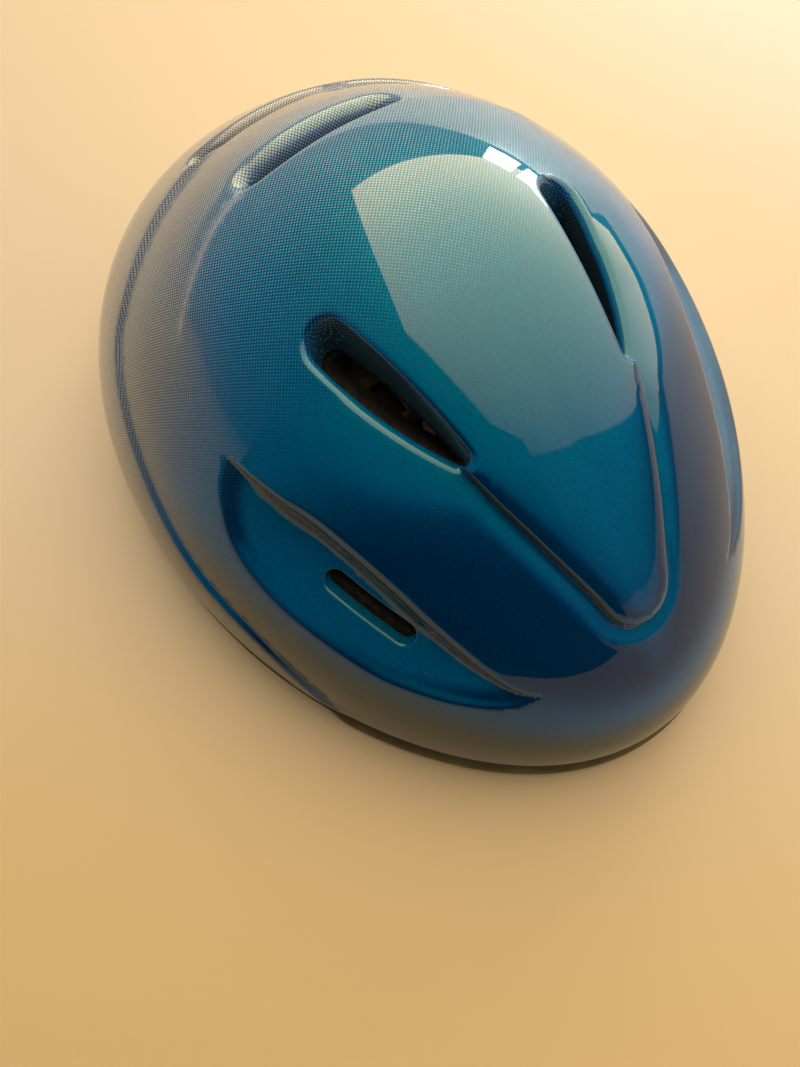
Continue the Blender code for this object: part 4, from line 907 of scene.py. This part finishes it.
def woven_band(name, rib, pick, dark, light):
    """Woven polyester from the weave group, on the band's own map, with a slight gloss on the threads."""
    finish, tree, shader = finish_for(name, 0.7, Sheen_Weight=0.15)
    uv = add(tree, "ShaderNodeUVMap", uv_map="weave")
    weave = add(tree, "ShaderNodeGroup", {"Place": uv.outputs[0], "Rib": rib, "Pick": pick}, node_tree=WEAVE)
    # Threads drop to a quarter of their colour where the weave is low: painted shade between the threads.
    shade = mixed(tree, weave.outputs["Height"], (*[c * 0.25 for c in dark], 1.0), (*dark, 1.0))
    shade = mixed(tree, ramped(tree, weave.outputs["Tone"], 0.3, 1.0, 0.0, 0.6), shade, (*light, 1.0))
    tree.links.new(shade, shader.inputs["Base Color"])
    tree.links.new(ramped(tree, weave.outputs["Height"], 0.2, 1.0, 0.85, 0.55), shader.inputs["Roughness"])
    bump = add(tree, "ShaderNodeBump", {"Strength": 0.7, "Distance": 0.00025, "Height": weave.outputs["Height"]})
    tree.links.new(bump.outputs[0], shader.inputs["Normal"])
    return finish


def bind_edge(pad, name):
    """Adds the binding round a pad's edge: a tube of woven tape, mapped along and round itself."""
    count, round_points = 160, 8
    path = under_dome(pad_ring(name, PAD_SHRINK + 0.01, count), np.full(count, PAD_BACK + BINDING_RADIUS + 0.0006))
    ahead = np.roll(path, -1, axis=0) - np.roll(path, 1, axis=0)
    ahead /= np.linalg.norm(ahead, axis=1, keepdims=True)
    up = dome_normals(on_dome(path))
    side = np.cross(up, ahead)
    along = np.concatenate([[0.0], np.cumsum(np.linalg.norm(np.diff(path, axis=0), axis=1))])
    work = bmesh.new()
    work.from_mesh(pad.data)
    for face in work.faces:
        face.material_index = 0
    layer = work.loops.layers.uv.new("weave")
    turns = np.arange(round_points) * 2 * np.pi / round_points
    rows = [[work.verts.new(path[i] + BINDING_RADIUS * (np.cos(t) * side[i] + np.sin(t) * up[i])) for t in turns]
            for i in range(count)]
    for i in range(count):
        for k in range(round_points):
            j, m = (i + 1) % count, (k + 1) % round_points
            face = work.faces.new((rows[i][k], rows[i][m], rows[j][m], rows[j][k]))
            face.material_index, face.smooth = 1, True
            for loop, (a, b) in zip(face.loops, ((i, k), (i, k + 1), (i + 1, k + 1), (i + 1, k))):
                length = along[a] if a < count else along[-1] + STITCH_LENGTH
                loop[layer].uv = (b / round_points * 2 * np.pi * BINDING_RADIUS, length)
    bmesh.ops.recalc_face_normals(work, faces=work.faces)
    work.to_mesh(pad.data)
    work.free()


def sewn_row_tree():
    """Geometry nodes that lay a stitch at every spacing along the edges of a mesh."""
    tree = bpy.data.node_groups.new("sewn_row", "GeometryNodeTree")
    for label, kind in (("Geometry", "NodeSocketGeometry"), ("Spacing", "NodeSocketFloat"),
                        ("Length", "NodeSocketFloat"), ("Thickness", "NodeSocketFloat"),
                        ("Thread", "NodeSocketMaterial")):
        tree.interface.new_socket(label, in_out="INPUT", socket_type=kind)
    tree.interface.new_socket("Geometry", in_out="OUTPUT", socket_type="NodeSocketGeometry")
    given, put = tree.nodes.new("NodeGroupInput"), tree.nodes.new("NodeGroupOutput")
    path = add(tree, "GeometryNodeMeshToCurve", {0: given.outputs["Geometry"]})
    spaced = add(tree, "GeometryNodeResampleCurve", {"Curve": path.outputs[0], "Length": given.outputs["Spacing"]},
                 mode="LENGTH")
    ball = add(tree, "GeometryNodeMeshUVSphere", {"Segments": 6, "Rings": 4, "Radius": 0.5})
    size = add(tree, "ShaderNodeCombineXYZ", {0: given.outputs["Length"], 1: given.outputs["Thickness"],
                                              2: given.outputs["Thickness"]})
    stitch = add(tree, "GeometryNodeTransform", {"Geometry": ball.outputs["Mesh"], "Scale": size.outputs[0]})
    ahead = add(tree, "GeometryNodeInputTangent")
    turn = add(tree, "FunctionNodeAlignRotationToVector", {"Vector": ahead.outputs[0]}, axis="X")
    laid = add(tree, "GeometryNodeInstanceOnPoints", {"Points": spaced.outputs[0], "Instance": stitch.outputs[0],
                                                      "Rotation": turn.outputs[0]})
    real = add(tree, "GeometryNodeRealizeInstances", {0: laid.outputs[0]})
    done = add(tree, "GeometryNodeSetMaterial", {0: real.outputs[0], "Material": given.outputs["Thread"]})
    tree.links.new(done.outputs[0], put.inputs[0])
    return tree


SEWN_ROW = sewn_row_tree()


def sewing_thread():
    """Twisted polyester thread, dark grey with a soft shine."""
    finish, tree, shader = finish_for("grey_sewing_thread", 0.5)
    where = add(tree, "ShaderNodeTexCoord")
    twist = add(tree, "ShaderNodeTexWave", {"Vector": where.outputs["Object"], "Scale": 900.0, "Distortion": 1.0},
                bands_direction="DIAGONAL")
    # Darker in the grooves of the twist: painted shade.
    shade = mixed(tree, twist.outputs["Fac"], (0.035, 0.035, 0.038, 1.0), (0.10, 0.10, 0.105, 1.0))
    tree.links.new(shade, shader.inputs["Base Color"])
    bump = add(tree, "ShaderNodeBump", {"Strength": 0.4, "Distance": 0.0001, "Height": twist.outputs["Fac"]})
    tree.links.new(bump.outputs[0], shader.inputs["Normal"])
    return finish


THREAD = sewing_thread()


def sewn(name, paths, closed, spacing=STITCH_SPACING, length=STITCH_LENGTH, thickness=STITCH_THICKNESS):
    """A piece made of the stitches along some paths."""
    points, edges = [], []
    for path in paths:
        first = len(points)
        points += [tuple(p) for p in path]
        edges += [(i, i + 1) for i in range(first, len(points) - 1)]
        if closed:
            edges.append((len(points) - 1, first))
    mesh = bpy.data.meshes.new(name)
    mesh.from_pydata(points, edges, [])
    piece = bpy.data.objects.new(name, mesh)
    bpy.context.scene.collection.objects.link(piece)
    row = piece.modifiers.new("sewn_row", "NODES")
    row.node_group = SEWN_ROW
    values = {"Spacing": spacing, "Length": length, "Thickness": thickness, "Thread": THREAD}
    for socket in SEWN_ROW.interface.items_tree:
        if socket.in_out == "INPUT" and socket.name in values:
            row[socket.identifier] = values[socket.name]
    settled(piece)
    piece.data.shade_smooth()
    return piece


def pad_seam(pad, name):
    """The line of a pad's seam on its face, found by looking from the head towards the foam."""
    disc = pad_ring(name, SEAM_SHARE, 120)
    tree = BVHTree.FromPolygons([v.co for v in pad.data.vertices], [p.vertices for p in pad.data.polygons])
    seam = []
    for place, normal in zip(under_dome(disc, np.full(len(disc), PAD_BACK + 3 * PAD_THICKNESS)), dome_normals(disc)):
        hit = tree.ray_cast(Vector(place), Vector(normal))[0]
        seam.append(np.array(hit))
    return seam


pad_names = [*PADS, "crown"]
pads = [pad_blank(name) for name in pad_names]
stuff(pads)
knit = brushed_knit()
binding = woven_band("black_binding_tape", 0.0008, 0.0009, (0.020, 0.020, 0.022), (0.036, 0.036, 0.040))
seams = [pad_seam(pad, name) for pad, name in zip(pads, pad_names)]
for pad, name in zip(pads, pad_names):
    pad.data.materials.append(knit)
    pad.data.materials.append(binding)
    bind_edge(pad, name)
    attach(pad, "helmet")
    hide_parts(name + "_pad")
pad_stitches = sewn("pad_stitches", seams, True)
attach(pad_stitches, "helmet")

# Strap anchors: four black nylon plates moulded into the foam, which each hold the end of a strap.
# Their edges are rounded so that they can't cut the webbing.
EDGE_ROUND = 0.0007


def moulded_grain():
    """Fine grain and broad patches, as a tool leaves them on moulded plastic and rubber."""
    tree, given, put = node_group("moulded_grain", [("Scale", "NodeSocketFloat", 900.0)],
                                  [("Grain", "NodeSocketFloat"), ("Patch", "NodeSocketFloat")])
    where = add(tree, "ShaderNodeTexCoord")
    fine = add(tree, "ShaderNodeTexNoise", {"Vector": where.outputs["Object"], "Scale": given.outputs["Scale"],
                                            "Detail": 2.0})
    broad_scale = maths(tree, "MULTIPLY", given.outputs["Scale"], 0.07)
    broad = add(tree, "ShaderNodeTexNoise", {"Vector": where.outputs["Object"], "Scale": broad_scale,
                                             "Detail": 4.0})
    tree.links.new(fine.outputs[0], put.inputs["Grain"])
    tree.links.new(broad.outputs[0], put.inputs["Patch"])
    return tree


GRAIN = moulded_grain()


def moulded(name, dark, light, roughness, scale=900.0, depth=0.0002):
    """A moulded finish from the grain group: tone in patches, and fine grain in its gloss and relief."""
    finish, tree, shader = finish_for(name, roughness)
    grain = add(tree, "ShaderNodeGroup", {"Scale": scale}, node_tree=GRAIN)
    shade = mixed(tree, ramped(tree, grain.outputs["Patch"], 0.35, 0.65), (*dark, 1.0), (*light, 1.0))
    tree.links.new(shade, shader.inputs["Base Color"])
    tree.links.new(ramped(tree, grain.outputs["Grain"], 0.3, 0.7, roughness - 0.08, roughness + 0.13),
                   shader.inputs["Roughness"])
    bump = add(tree, "ShaderNodeBump", {"Strength": 0.15, "Distance": depth, "Height": grain.outputs["Grain"]})
    tree.links.new(bump.outputs[0], shader.inputs["Normal"])
    return finish


def softened(name, node, radius, finish, body):
    """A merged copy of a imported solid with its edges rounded, which stands for that solid."""
    mesh = bpy.data.meshes.new(name)
    work = bmesh.new()
    work.from_mesh(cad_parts[node].data)
    bmesh.ops.remove_doubles(work, verts=work.verts, dist=1e-6)
    bmesh.ops.dissolve_limit(work, angle_limit=np.radians(2), verts=work.verts, edges=work.edges)
    sharp = [e for e in work.edges if e.is_manifold and e.calc_face_angle() > np.radians(25)]
    bmesh.ops.bevel(work, geom=sharp, offset=radius, offset_type="OFFSET", segments=3, profile=0.5, affect="EDGES",
                    clamp_overlap=True)
    bmesh.ops.triangulate(work, faces=[f for f in work.faces if len(f.verts) > 4])
    bmesh.ops.recalc_face_normals(work, faces=work.faces)
    work.to_mesh(mesh)
    work.free()
    mesh.shade_smooth()
    mesh.set_sharp_from_angle(angle=np.radians(40))
    mesh.materials.clear()
    mesh.materials.append(finish)
    piece = bpy.data.objects.new(name, mesh)
    bpy.context.scene.collection.objects.link(piece)
    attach(piece, body)
    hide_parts(node)
    return piece


anchor_nylon = moulded("black_anchor_nylon", (0.010, 0.010, 0.011), (0.020, 0.020, 0.021), 0.45)
for row in ("front", "rear"):
    for hand in ("left", "right"):
        softened(f"{row}_{hand}_strap_anchor", f"{row}_{hand}_anchor", EDGE_ROUND, anchor_nylon, "helmet")

# Webbing: black polyester straps, woven 15 mm wide. On each side a front and a rear strap come down the foam
# from their anchors, turn in at the rim, meet in the divider and run on together to the buckle.
WEB_WIDTH = 0.015
WEB_THICKNESS = 0.0013
WEB_LAYER_GAP = 0.0003
WEB_STEP = 0.0012
ANCHOR_LOW = 0.040
ANCHOR_HOLD = 0.003
SWING_HEIGHT = 0.012
BEND_ROOM = 0.0040
STRAP_DROP_SHARE = 0.6
FRONT_BEARING = np.radians(-18)
CHIN_STRAP_Y = 0.017
CHIN_STRAP_Z = 0.005
JUNCTION_X = 0.030
CHIN_END_X = -0.0037


def seat_depth(width, thickness):
    """Depth under the dome of a flat strip's middle when its edges rest on the foam's curved inside."""
    return LINER_DEPTH + CLEARANCE + width ** 2 / 8 / (WIDTH / 2 - LINER_DEPTH) + thickness / 2


def strap_angle(bearing, height, depth):
    """Angle from the crown where a point at a depth under the dome has the given height."""
    angles = np.radians(np.linspace(34, 100, 400))
    z = under_dome(polar(np.full(angles.shape, bearing), angles), np.full(len(angles), depth))[:, 2]
    return np.interp(0.0, height - z, angles)


def swing_place(bearing):
    """Point where a strap leaves the foam and starts to swing."""
    disc = polar(np.array([bearing]), np.array([strap_angle(bearing, SWING_HEIGHT, LINER_DEPTH)]))
    normal = dome_normals(disc)[0]
    return dome(disc)[0] - normal * (seat_depth(WEB_WIDTH, WEB_THICKNESS) + WEB_WIDTH / 2 * abs(normal[1]))


def rear_bearing():
    """Bearing behind the ear at which the rear strap leaves as far out as the front one."""
    reach = swing_place(FRONT_BEARING)[0]
    bearings = np.radians(np.linspace(15, 75, 73))
    return np.interp(-reach, [-swing_place(b)[0] for b in bearings], bearings)


def unit(vectors):
    return vectors / np.linalg.norm(vectors, axis=1, keepdims=True)


def strap_path(bearing, chin_y, chin_z):
    """Middle line of a left strap from anchor to buckle, and the direction of its width."""
    depth = seat_depth(WEB_WIDTH, WEB_THICKNESS)
    start = swing_place(bearing)
    ends = [strap_angle(bearing, height, depth) for height in (ANCHOR_LOW + ANCHOR_HOLD, start[2] + BEND_ROOM)]
    disc = polar(np.full(24, bearing), np.linspace(*ends, 24))
    fixed = under_dome(disc, np.full(24, depth))
    fixed_side = unit(np.cross(dome_normals(disc), np.gradient(fixed, axis=0)))
    t = np.linspace(0.06, 1, 60)
    junction = np.array([JUNCTION_X, chin_y, chin_z])
    loose = start + (junction - start) * np.stack([t, smooth(0, 1, t), smooth(0, STRAP_DROP_SHARE, t)], axis=1)
    loose_side = unit(np.cross(np.gradient(loose, axis=0), (0.0, 0.0, 1.0)))
    chin = np.linspace(junction, (CHIN_END_X, chin_y, chin_z), 30)[1:]
    points = np.vstack([fixed, loose, chin])
    sides = np.vstack([fixed_side, loose_side, np.tile((0.0, 1.0, 0.0), (len(chin), 1))])
    along = np.concatenate([[0.0], np.cumsum(np.linalg.norm(np.diff(points, axis=0), axis=1))])
    even = np.linspace(0, along[-1], round(along[-1] / WEB_STEP) + 1)
    points = np.stack([np.interp(even, along, points[:, k]) for k in range(3)], axis=1)
    sides = np.stack([np.interp(even, along, sides[:, k]) for k in range(3)], axis=1)
    for _ in range(2):
        points[1:-1] = (points[:-2] + 2 * points[1:-1] + points[2:]) / 4
        sides[1:-1] = (sides[:-2] + 2 * sides[1:-1] + sides[2:]) / 4
    return points, unit(sides)


def web_band(name, centres, sides, finish):
    """A woven band with rounded edges swept along a path; its map runs across and along it in metres."""
    ahead = unit(np.gradient(centres, axis=0))
    sides = unit(sides - ahead * (sides * ahead).sum(1)[:, None])
    ups = np.cross(ahead, sides)
    half, thick = WEB_WIDTH / 2, WEB_THICKNESS / 2
    bend = np.linspace(-np.pi / 2, np.pi / 2, 5)
    flat = np.linspace(half - thick, thick - half, 9)[1:-1]
    edge = [(half - thick + thick * np.cos(b), thick * np.sin(b)) for b in bend]
    section = edge + [(s, thick) for s in flat] + [(-s, -h) for s, h in edge] + [(-s, -thick) for s in flat]
    count = len(section)
    points = np.vstack([c + np.array([s * side + h * up for s, h in section])
                        for c, side, up in zip(centres, sides, ups)])
    faces = [tuple(range(count)), tuple(range(len(points) - count, len(points)))]
    for r in range(len(centres) - 1):
        upper = np.arange(count) + r * count
        faces += [tuple(int(i) for i in f) for f in band(upper, upper + count)]
    piece = mesh_piece(name, points, faces)
    length = np.concatenate([[0.0], np.cumsum(np.linalg.norm(np.diff(centres, axis=0), axis=1))])
    place = np.array([(s, l) for l in length for s, _ in section])
    corner = np.empty(len(piece.data.loops), dtype=np.int32)
    piece.data.loops.foreach_get("vertex_index", corner)
    weave = piece.data.uv_layers.new(name="weave")
    weave.data.foreach_set("uv", place[corner].astype(np.float32).ravel())
    piece.data.materials.append(finish)
    return piece


webbing = woven_band("black_polyester_webbing", 0.0015, 0.0013, (0.016, 0.016, 0.018), (0.030, 0.030, 0.033))
layer = (WEB_THICKNESS + WEB_LAYER_GAP) / 2
for hand, mirror in (("left", 1), ("right", -1)):
    flip = np.array([mirror, 1, 1])
    for row, bearing, lift in (("front", FRONT_BEARING, -layer), ("rear", rear_bearing(), layer)):
        points, sides = strap_path(bearing, CHIN_STRAP_Y * mirror, CHIN_STRAP_Z + lift)
        strap = web_band(f"{hand}_{row}_webbing", points * flip, sides * flip, webbing)
        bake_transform(strap)
        chin = [f"{hand}_chin_strap"] if row == "front" else []
        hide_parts(f"{row}_{hand}_fixed_strap", f"{hand}_{row}_strap", *chin)

# Strap tail: the free end of the right chin strap, folded back over it, turned over once and sewn so that it
# can't pull back through the keeper. The left chin strap is also sewn across before its buckle half.
TAIL_START_X = -0.0053
TAIL_END_X = -0.0144
TAIL_Z = 0.0074
HEM_RADIUS = 0.0008
HEM_LENGTH = 0.0004
turn_over = np.linspace(-np.pi / 2, np.pi / 2, 9)[1:]
tail_path = [(x, -CHIN_STRAP_Y, TAIL_Z) for x in np.linspace(TAIL_START_X, TAIL_END_X, 12)]
tail_path += [(TAIL_END_X - HEM_RADIUS * np.cos(b), -CHIN_STRAP_Y, TAIL_Z + HEM_RADIUS * (1 + np.sin(b)))
              for b in turn_over]
tail_path.append((TAIL_END_X + HEM_LENGTH, -CHIN_STRAP_Y, TAIL_Z + 2 * HEM_RADIUS))
tail_path = np.array(tail_path)
tail = web_band("folded_strap_tail", tail_path, np.tile((0.0, 1.0, 0.0), (len(tail_path), 1)), webbing)
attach(tail, "right_harness")
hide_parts("strap_tail")


def bar_tacks(name, x, y, top, low, body):
    """Three close rows of stitches across a strap, on its top and underneath."""
    rows = []
    for offset in (-0.0012, 0.0, 0.0012):
        for z in (top, low):
            rows.append([(x + offset, y + s, z) for s in np.linspace(-0.0062, 0.0062, 8)])
    tacks = sewn(name, rows, False, 0.0016, 0.0014, 0.0004)
    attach(tacks, body)


chin_top, chin_low = CHIN_STRAP_Z + layer + WEB_THICKNESS / 2, CHIN_STRAP_Z - layer - WEB_THICKNESS / 2
bar_tacks("left_bar_tacks", 0.0090, CHIN_STRAP_Y, chin_top, chin_low, "left_harness")
hem_top = TAIL_Z + 2 * HEM_RADIUS + WEB_THICKNESS / 2
hem = sewn("tail_hem_stitches", [[(TAIL_END_X + 0.0002, -CHIN_STRAP_Y + s, hem_top)
                                  for s in np.linspace(-0.0062, 0.0062, 8)]], False, 0.0016, 0.0014, 0.0004)
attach(hem, "right_harness")

# Strap dividers and keeper: nylon sleeves that slide on the doubled chin straps under the ears, and a rubber
# ring that holds the strap's tail down.
buckle_nylon = moulded("black_buckle_nylon", (0.009, 0.009, 0.010), (0.017, 0.017, 0.018), 0.36, 1400.0, 0.0001)
keeper_rubber = moulded("black_keeper_rubber", (0.012, 0.012, 0.012), (0.022, 0.021, 0.020), 0.62, 700.0)
softened("left_strap_divider", "left_divider", EDGE_ROUND, buckle_nylon, "left_divider")
softened("right_strap_divider", "right_divider", EDGE_ROUND, buckle_nylon, "right_divider")
softened("rubber_strap_keeper", "strap_keeper", EDGE_ROUND, keeper_rubber, "strap_keeper")

# Buckle: a side-release buckle of black nylon. The plug's two sprung prongs snap into the windows in the
# socket's sides, and are pinched to let go.
BUCKLE_ROUND = 0.0006
softened("plug_body", "buckle_plug", BUCKLE_ROUND, buckle_nylon, "right_harness")
softened("front_plug_prong", "plug_front_prong", BUCKLE_ROUND, buckle_nylon, "front_prong")
softened("rear_plug_prong", "plug_rear_prong", BUCKLE_ROUND, buckle_nylon, "rear_prong")
softened("socket_body", "buckle_socket", BUCKLE_ROUND, buckle_nylon, "left_harness")

# The set: a warm pale table top, paler towards the window with painted light and more orange towards the front left
# with painted shade, a bright window high on the right, a soft fill, and the camera above the helmet's right front.
floor_mesh = bpy.data.meshes.new("table_top")
floor_mesh.from_pydata([(-4, -4, 0), (4, -4, 0), (4, 4, 0), (-4, 4, 0)], [], [(0, 1, 2, 3)])
floor = bpy.data.objects.new("table_top", floor_mesh)
bpy.context.scene.collection.objects.link(floor)
table, table_tree, table_shader = finish_for("warm_table", 0.55)
table_place = add(table_tree, "ShaderNodeSeparateXYZ", {0: add(table_tree, "ShaderNodeTexCoord").outputs["Object"]})
# Paler towards the window and more orange towards the front left: painted window light and painted shade on the
# table.
painted_window_light_share = maths(table_tree, "ADD", maths(table_tree, "MULTIPLY", table_place.outputs[0], 0.95),
                maths(table_tree, "MULTIPLY", table_place.outputs[1], 0.31))
painted_shade_share = maths(table_tree, "ADD", table_place.outputs[0], table_place.outputs[1])
table_tint = mixed(table_tree, ramped(table_tree, painted_shade_share, -0.02, -0.28), (0.84, 0.62, 0.37, 1.0),
                   (0.86, 0.54, 0.21, 1.0))
table_tint = mixed(table_tree, ramped(table_tree, painted_window_light_share, 0.13, 0.34), table_tint, (0.88, 0.80, 0.66, 1.0))
table_tree.links.new(table_tint, table_shader.inputs["Base Color"])
floor_mesh.materials.append(table)

# A black card stands in front of the helmet's right side and shows only in glossy faces
CARD_ENDS = ((0.03, -0.57), (-0.55, 0.13))
CARD_HEIGHT = 0.6
card_mesh = bpy.data.meshes.new("black_card")
card_mesh.from_pydata([(x, y, z) for z in (0.0, CARD_HEIGHT) for x, y in CARD_ENDS], [], [(0, 1, 3, 2)])
card = bpy.data.objects.new("black_card", card_mesh)
bpy.context.scene.collection.objects.link(card)
card_mesh.materials.append(finish_for("matt_black_card", 1.0, Base_Color=(0.01, 0.01, 0.012, 1.0),
                                      Specular_IOR_Level=0.0)[0])
card.visible_camera = card.visible_diffuse = card.visible_shadow = False

world = bpy.data.worlds.new("soft_room")
bpy.context.scene.world = world
world.use_nodes = True
room = world.node_tree.nodes["Background"]
room.inputs["Color"].default_value = (0.45, 0.62, 0.85, 1.0)
room.inputs["Strength"].default_value = 0.10


def soft_lamp(name, place, across, facing, size, power, colour, lights=True, shines=True):
    """A rectangular lamp that lights dull surfaces, shines in glossy ones, or does both."""
    lamp = bpy.data.lights.new(name, "AREA")
    lamp.shape = "RECTANGLE"
    lamp.size, lamp.size_y = size
    lamp.energy = power
    lamp.color = colour
    holder = bpy.data.objects.new(name, lamp)
    across, back = Vector(across).normalized(), -Vector(facing).normalized()
    turn = Matrix((across, back.cross(across), back)).transposed().to_4x4()
    holder.matrix_world = Matrix.Translation(place) @ turn
    holder.visible_diffuse, holder.visible_glossy = lights, shines
    bpy.context.scene.collection.objects.link(holder)
    return lamp


soft_lamp("skylight", (0.63, 1.36, 2.0), (0.907, -0.42, 0.0), (-0.63, -1.36, -2.0), (4.0, 4.0), 76.0,
          (1.0, 0.97, 0.92), shines=False)
soft_lamp("fill", (1.5, -1.5, 1.8), (0.7071, 0.7071, 0.0), (-1.5, 1.5, -1.8), (3.0, 3.0), 24.0,
          (1.0, 0.95, 0.86), shines=False)
for name, along, width in (("front_pane", 0.27, 0.50), ("rear_pane", -0.24, 0.36)):
    soft_lamp(name, (2.3 + 0.49 * along, 1.3 - 0.87 * along, 0.30), (0.49, -0.87, 0.0), (-2.3, -1.3, -0.2),
              (width, 0.40), 56.0 * width * 0.40, (0.95, 0.98, 1.0))
CEILING_SIZE = (3.725, 4.5)
ceiling = soft_lamp("ceiling", (1.275, 0.401, 1.008), (0.859, -0.313, -0.406), (-0.382, 0.139, -0.914),
                    CEILING_SIZE, np.pi * CEILING_SIZE[0] * CEILING_SIZE[1], (1.0, 0.76, 0.40), lights=False)
ceiling.use_nodes = True
glow = ceiling.node_tree
spread = add(glow, "ShaderNodeSeparateXYZ", {0: add(glow, "ShaderNodeNewGeometry").outputs["Parametric"]})
from_corner = maths(glow, "ADD", maths(glow, "MULTIPLY", spread.outputs[0], 1.2 * CEILING_SIZE[0]),
                    maths(glow, "MULTIPLY", spread.outputs[1], 1.15 * CEILING_SIZE[1]))
from_foot = maths(glow, "SUBTRACT", maths(glow, "MULTIPLY", spread.outputs[1], 2.04 * CEILING_SIZE[1]),
                  maths(glow, "MULTIPLY", spread.outputs[0], 0.9 * CEILING_SIZE[0]))
strength = add(glow, "ShaderNodeMapRange", {"Value": spread.outputs[1], "From Max": 0.71, "To Min": 0.2,
                                            "To Max": 7.6}).outputs[0]
strength = maths(glow, "MULTIPLY", strength, ramped(glow, from_corner, 1.44, 1.54))
strength = maths(glow, "MULTIPLY", strength, ramped(glow, from_foot, -1.00, -0.90))
glow.links.new(strength, glow.nodes["Emission"].inputs["Strength"])

camera = bpy.data.objects.new("photo_camera", bpy.data.cameras.new("photo_camera"))
camera.data.sensor_width = 36.0
camera.data.sensor_fit = "HORIZONTAL"
camera.data.lens = 45.0
camera.data.clip_start = 0.01
right, up = Vector((0.81572, -0.57806, -0.02116)), Vector((0.54963, 0.76317, 0.33981))
turn = Matrix((right, up, -Vector((0.18028, 0.28882, -0.94026)))).transposed().to_4x4()
camera.matrix_world = Matrix.Translation((-0.09235, -0.13163, 0.34321)) @ turn
bpy.context.scene.collection.objects.link(camera)
bpy.context.scene.camera = camera
bpy.context.scene.view_settings.view_transform = "Standard"
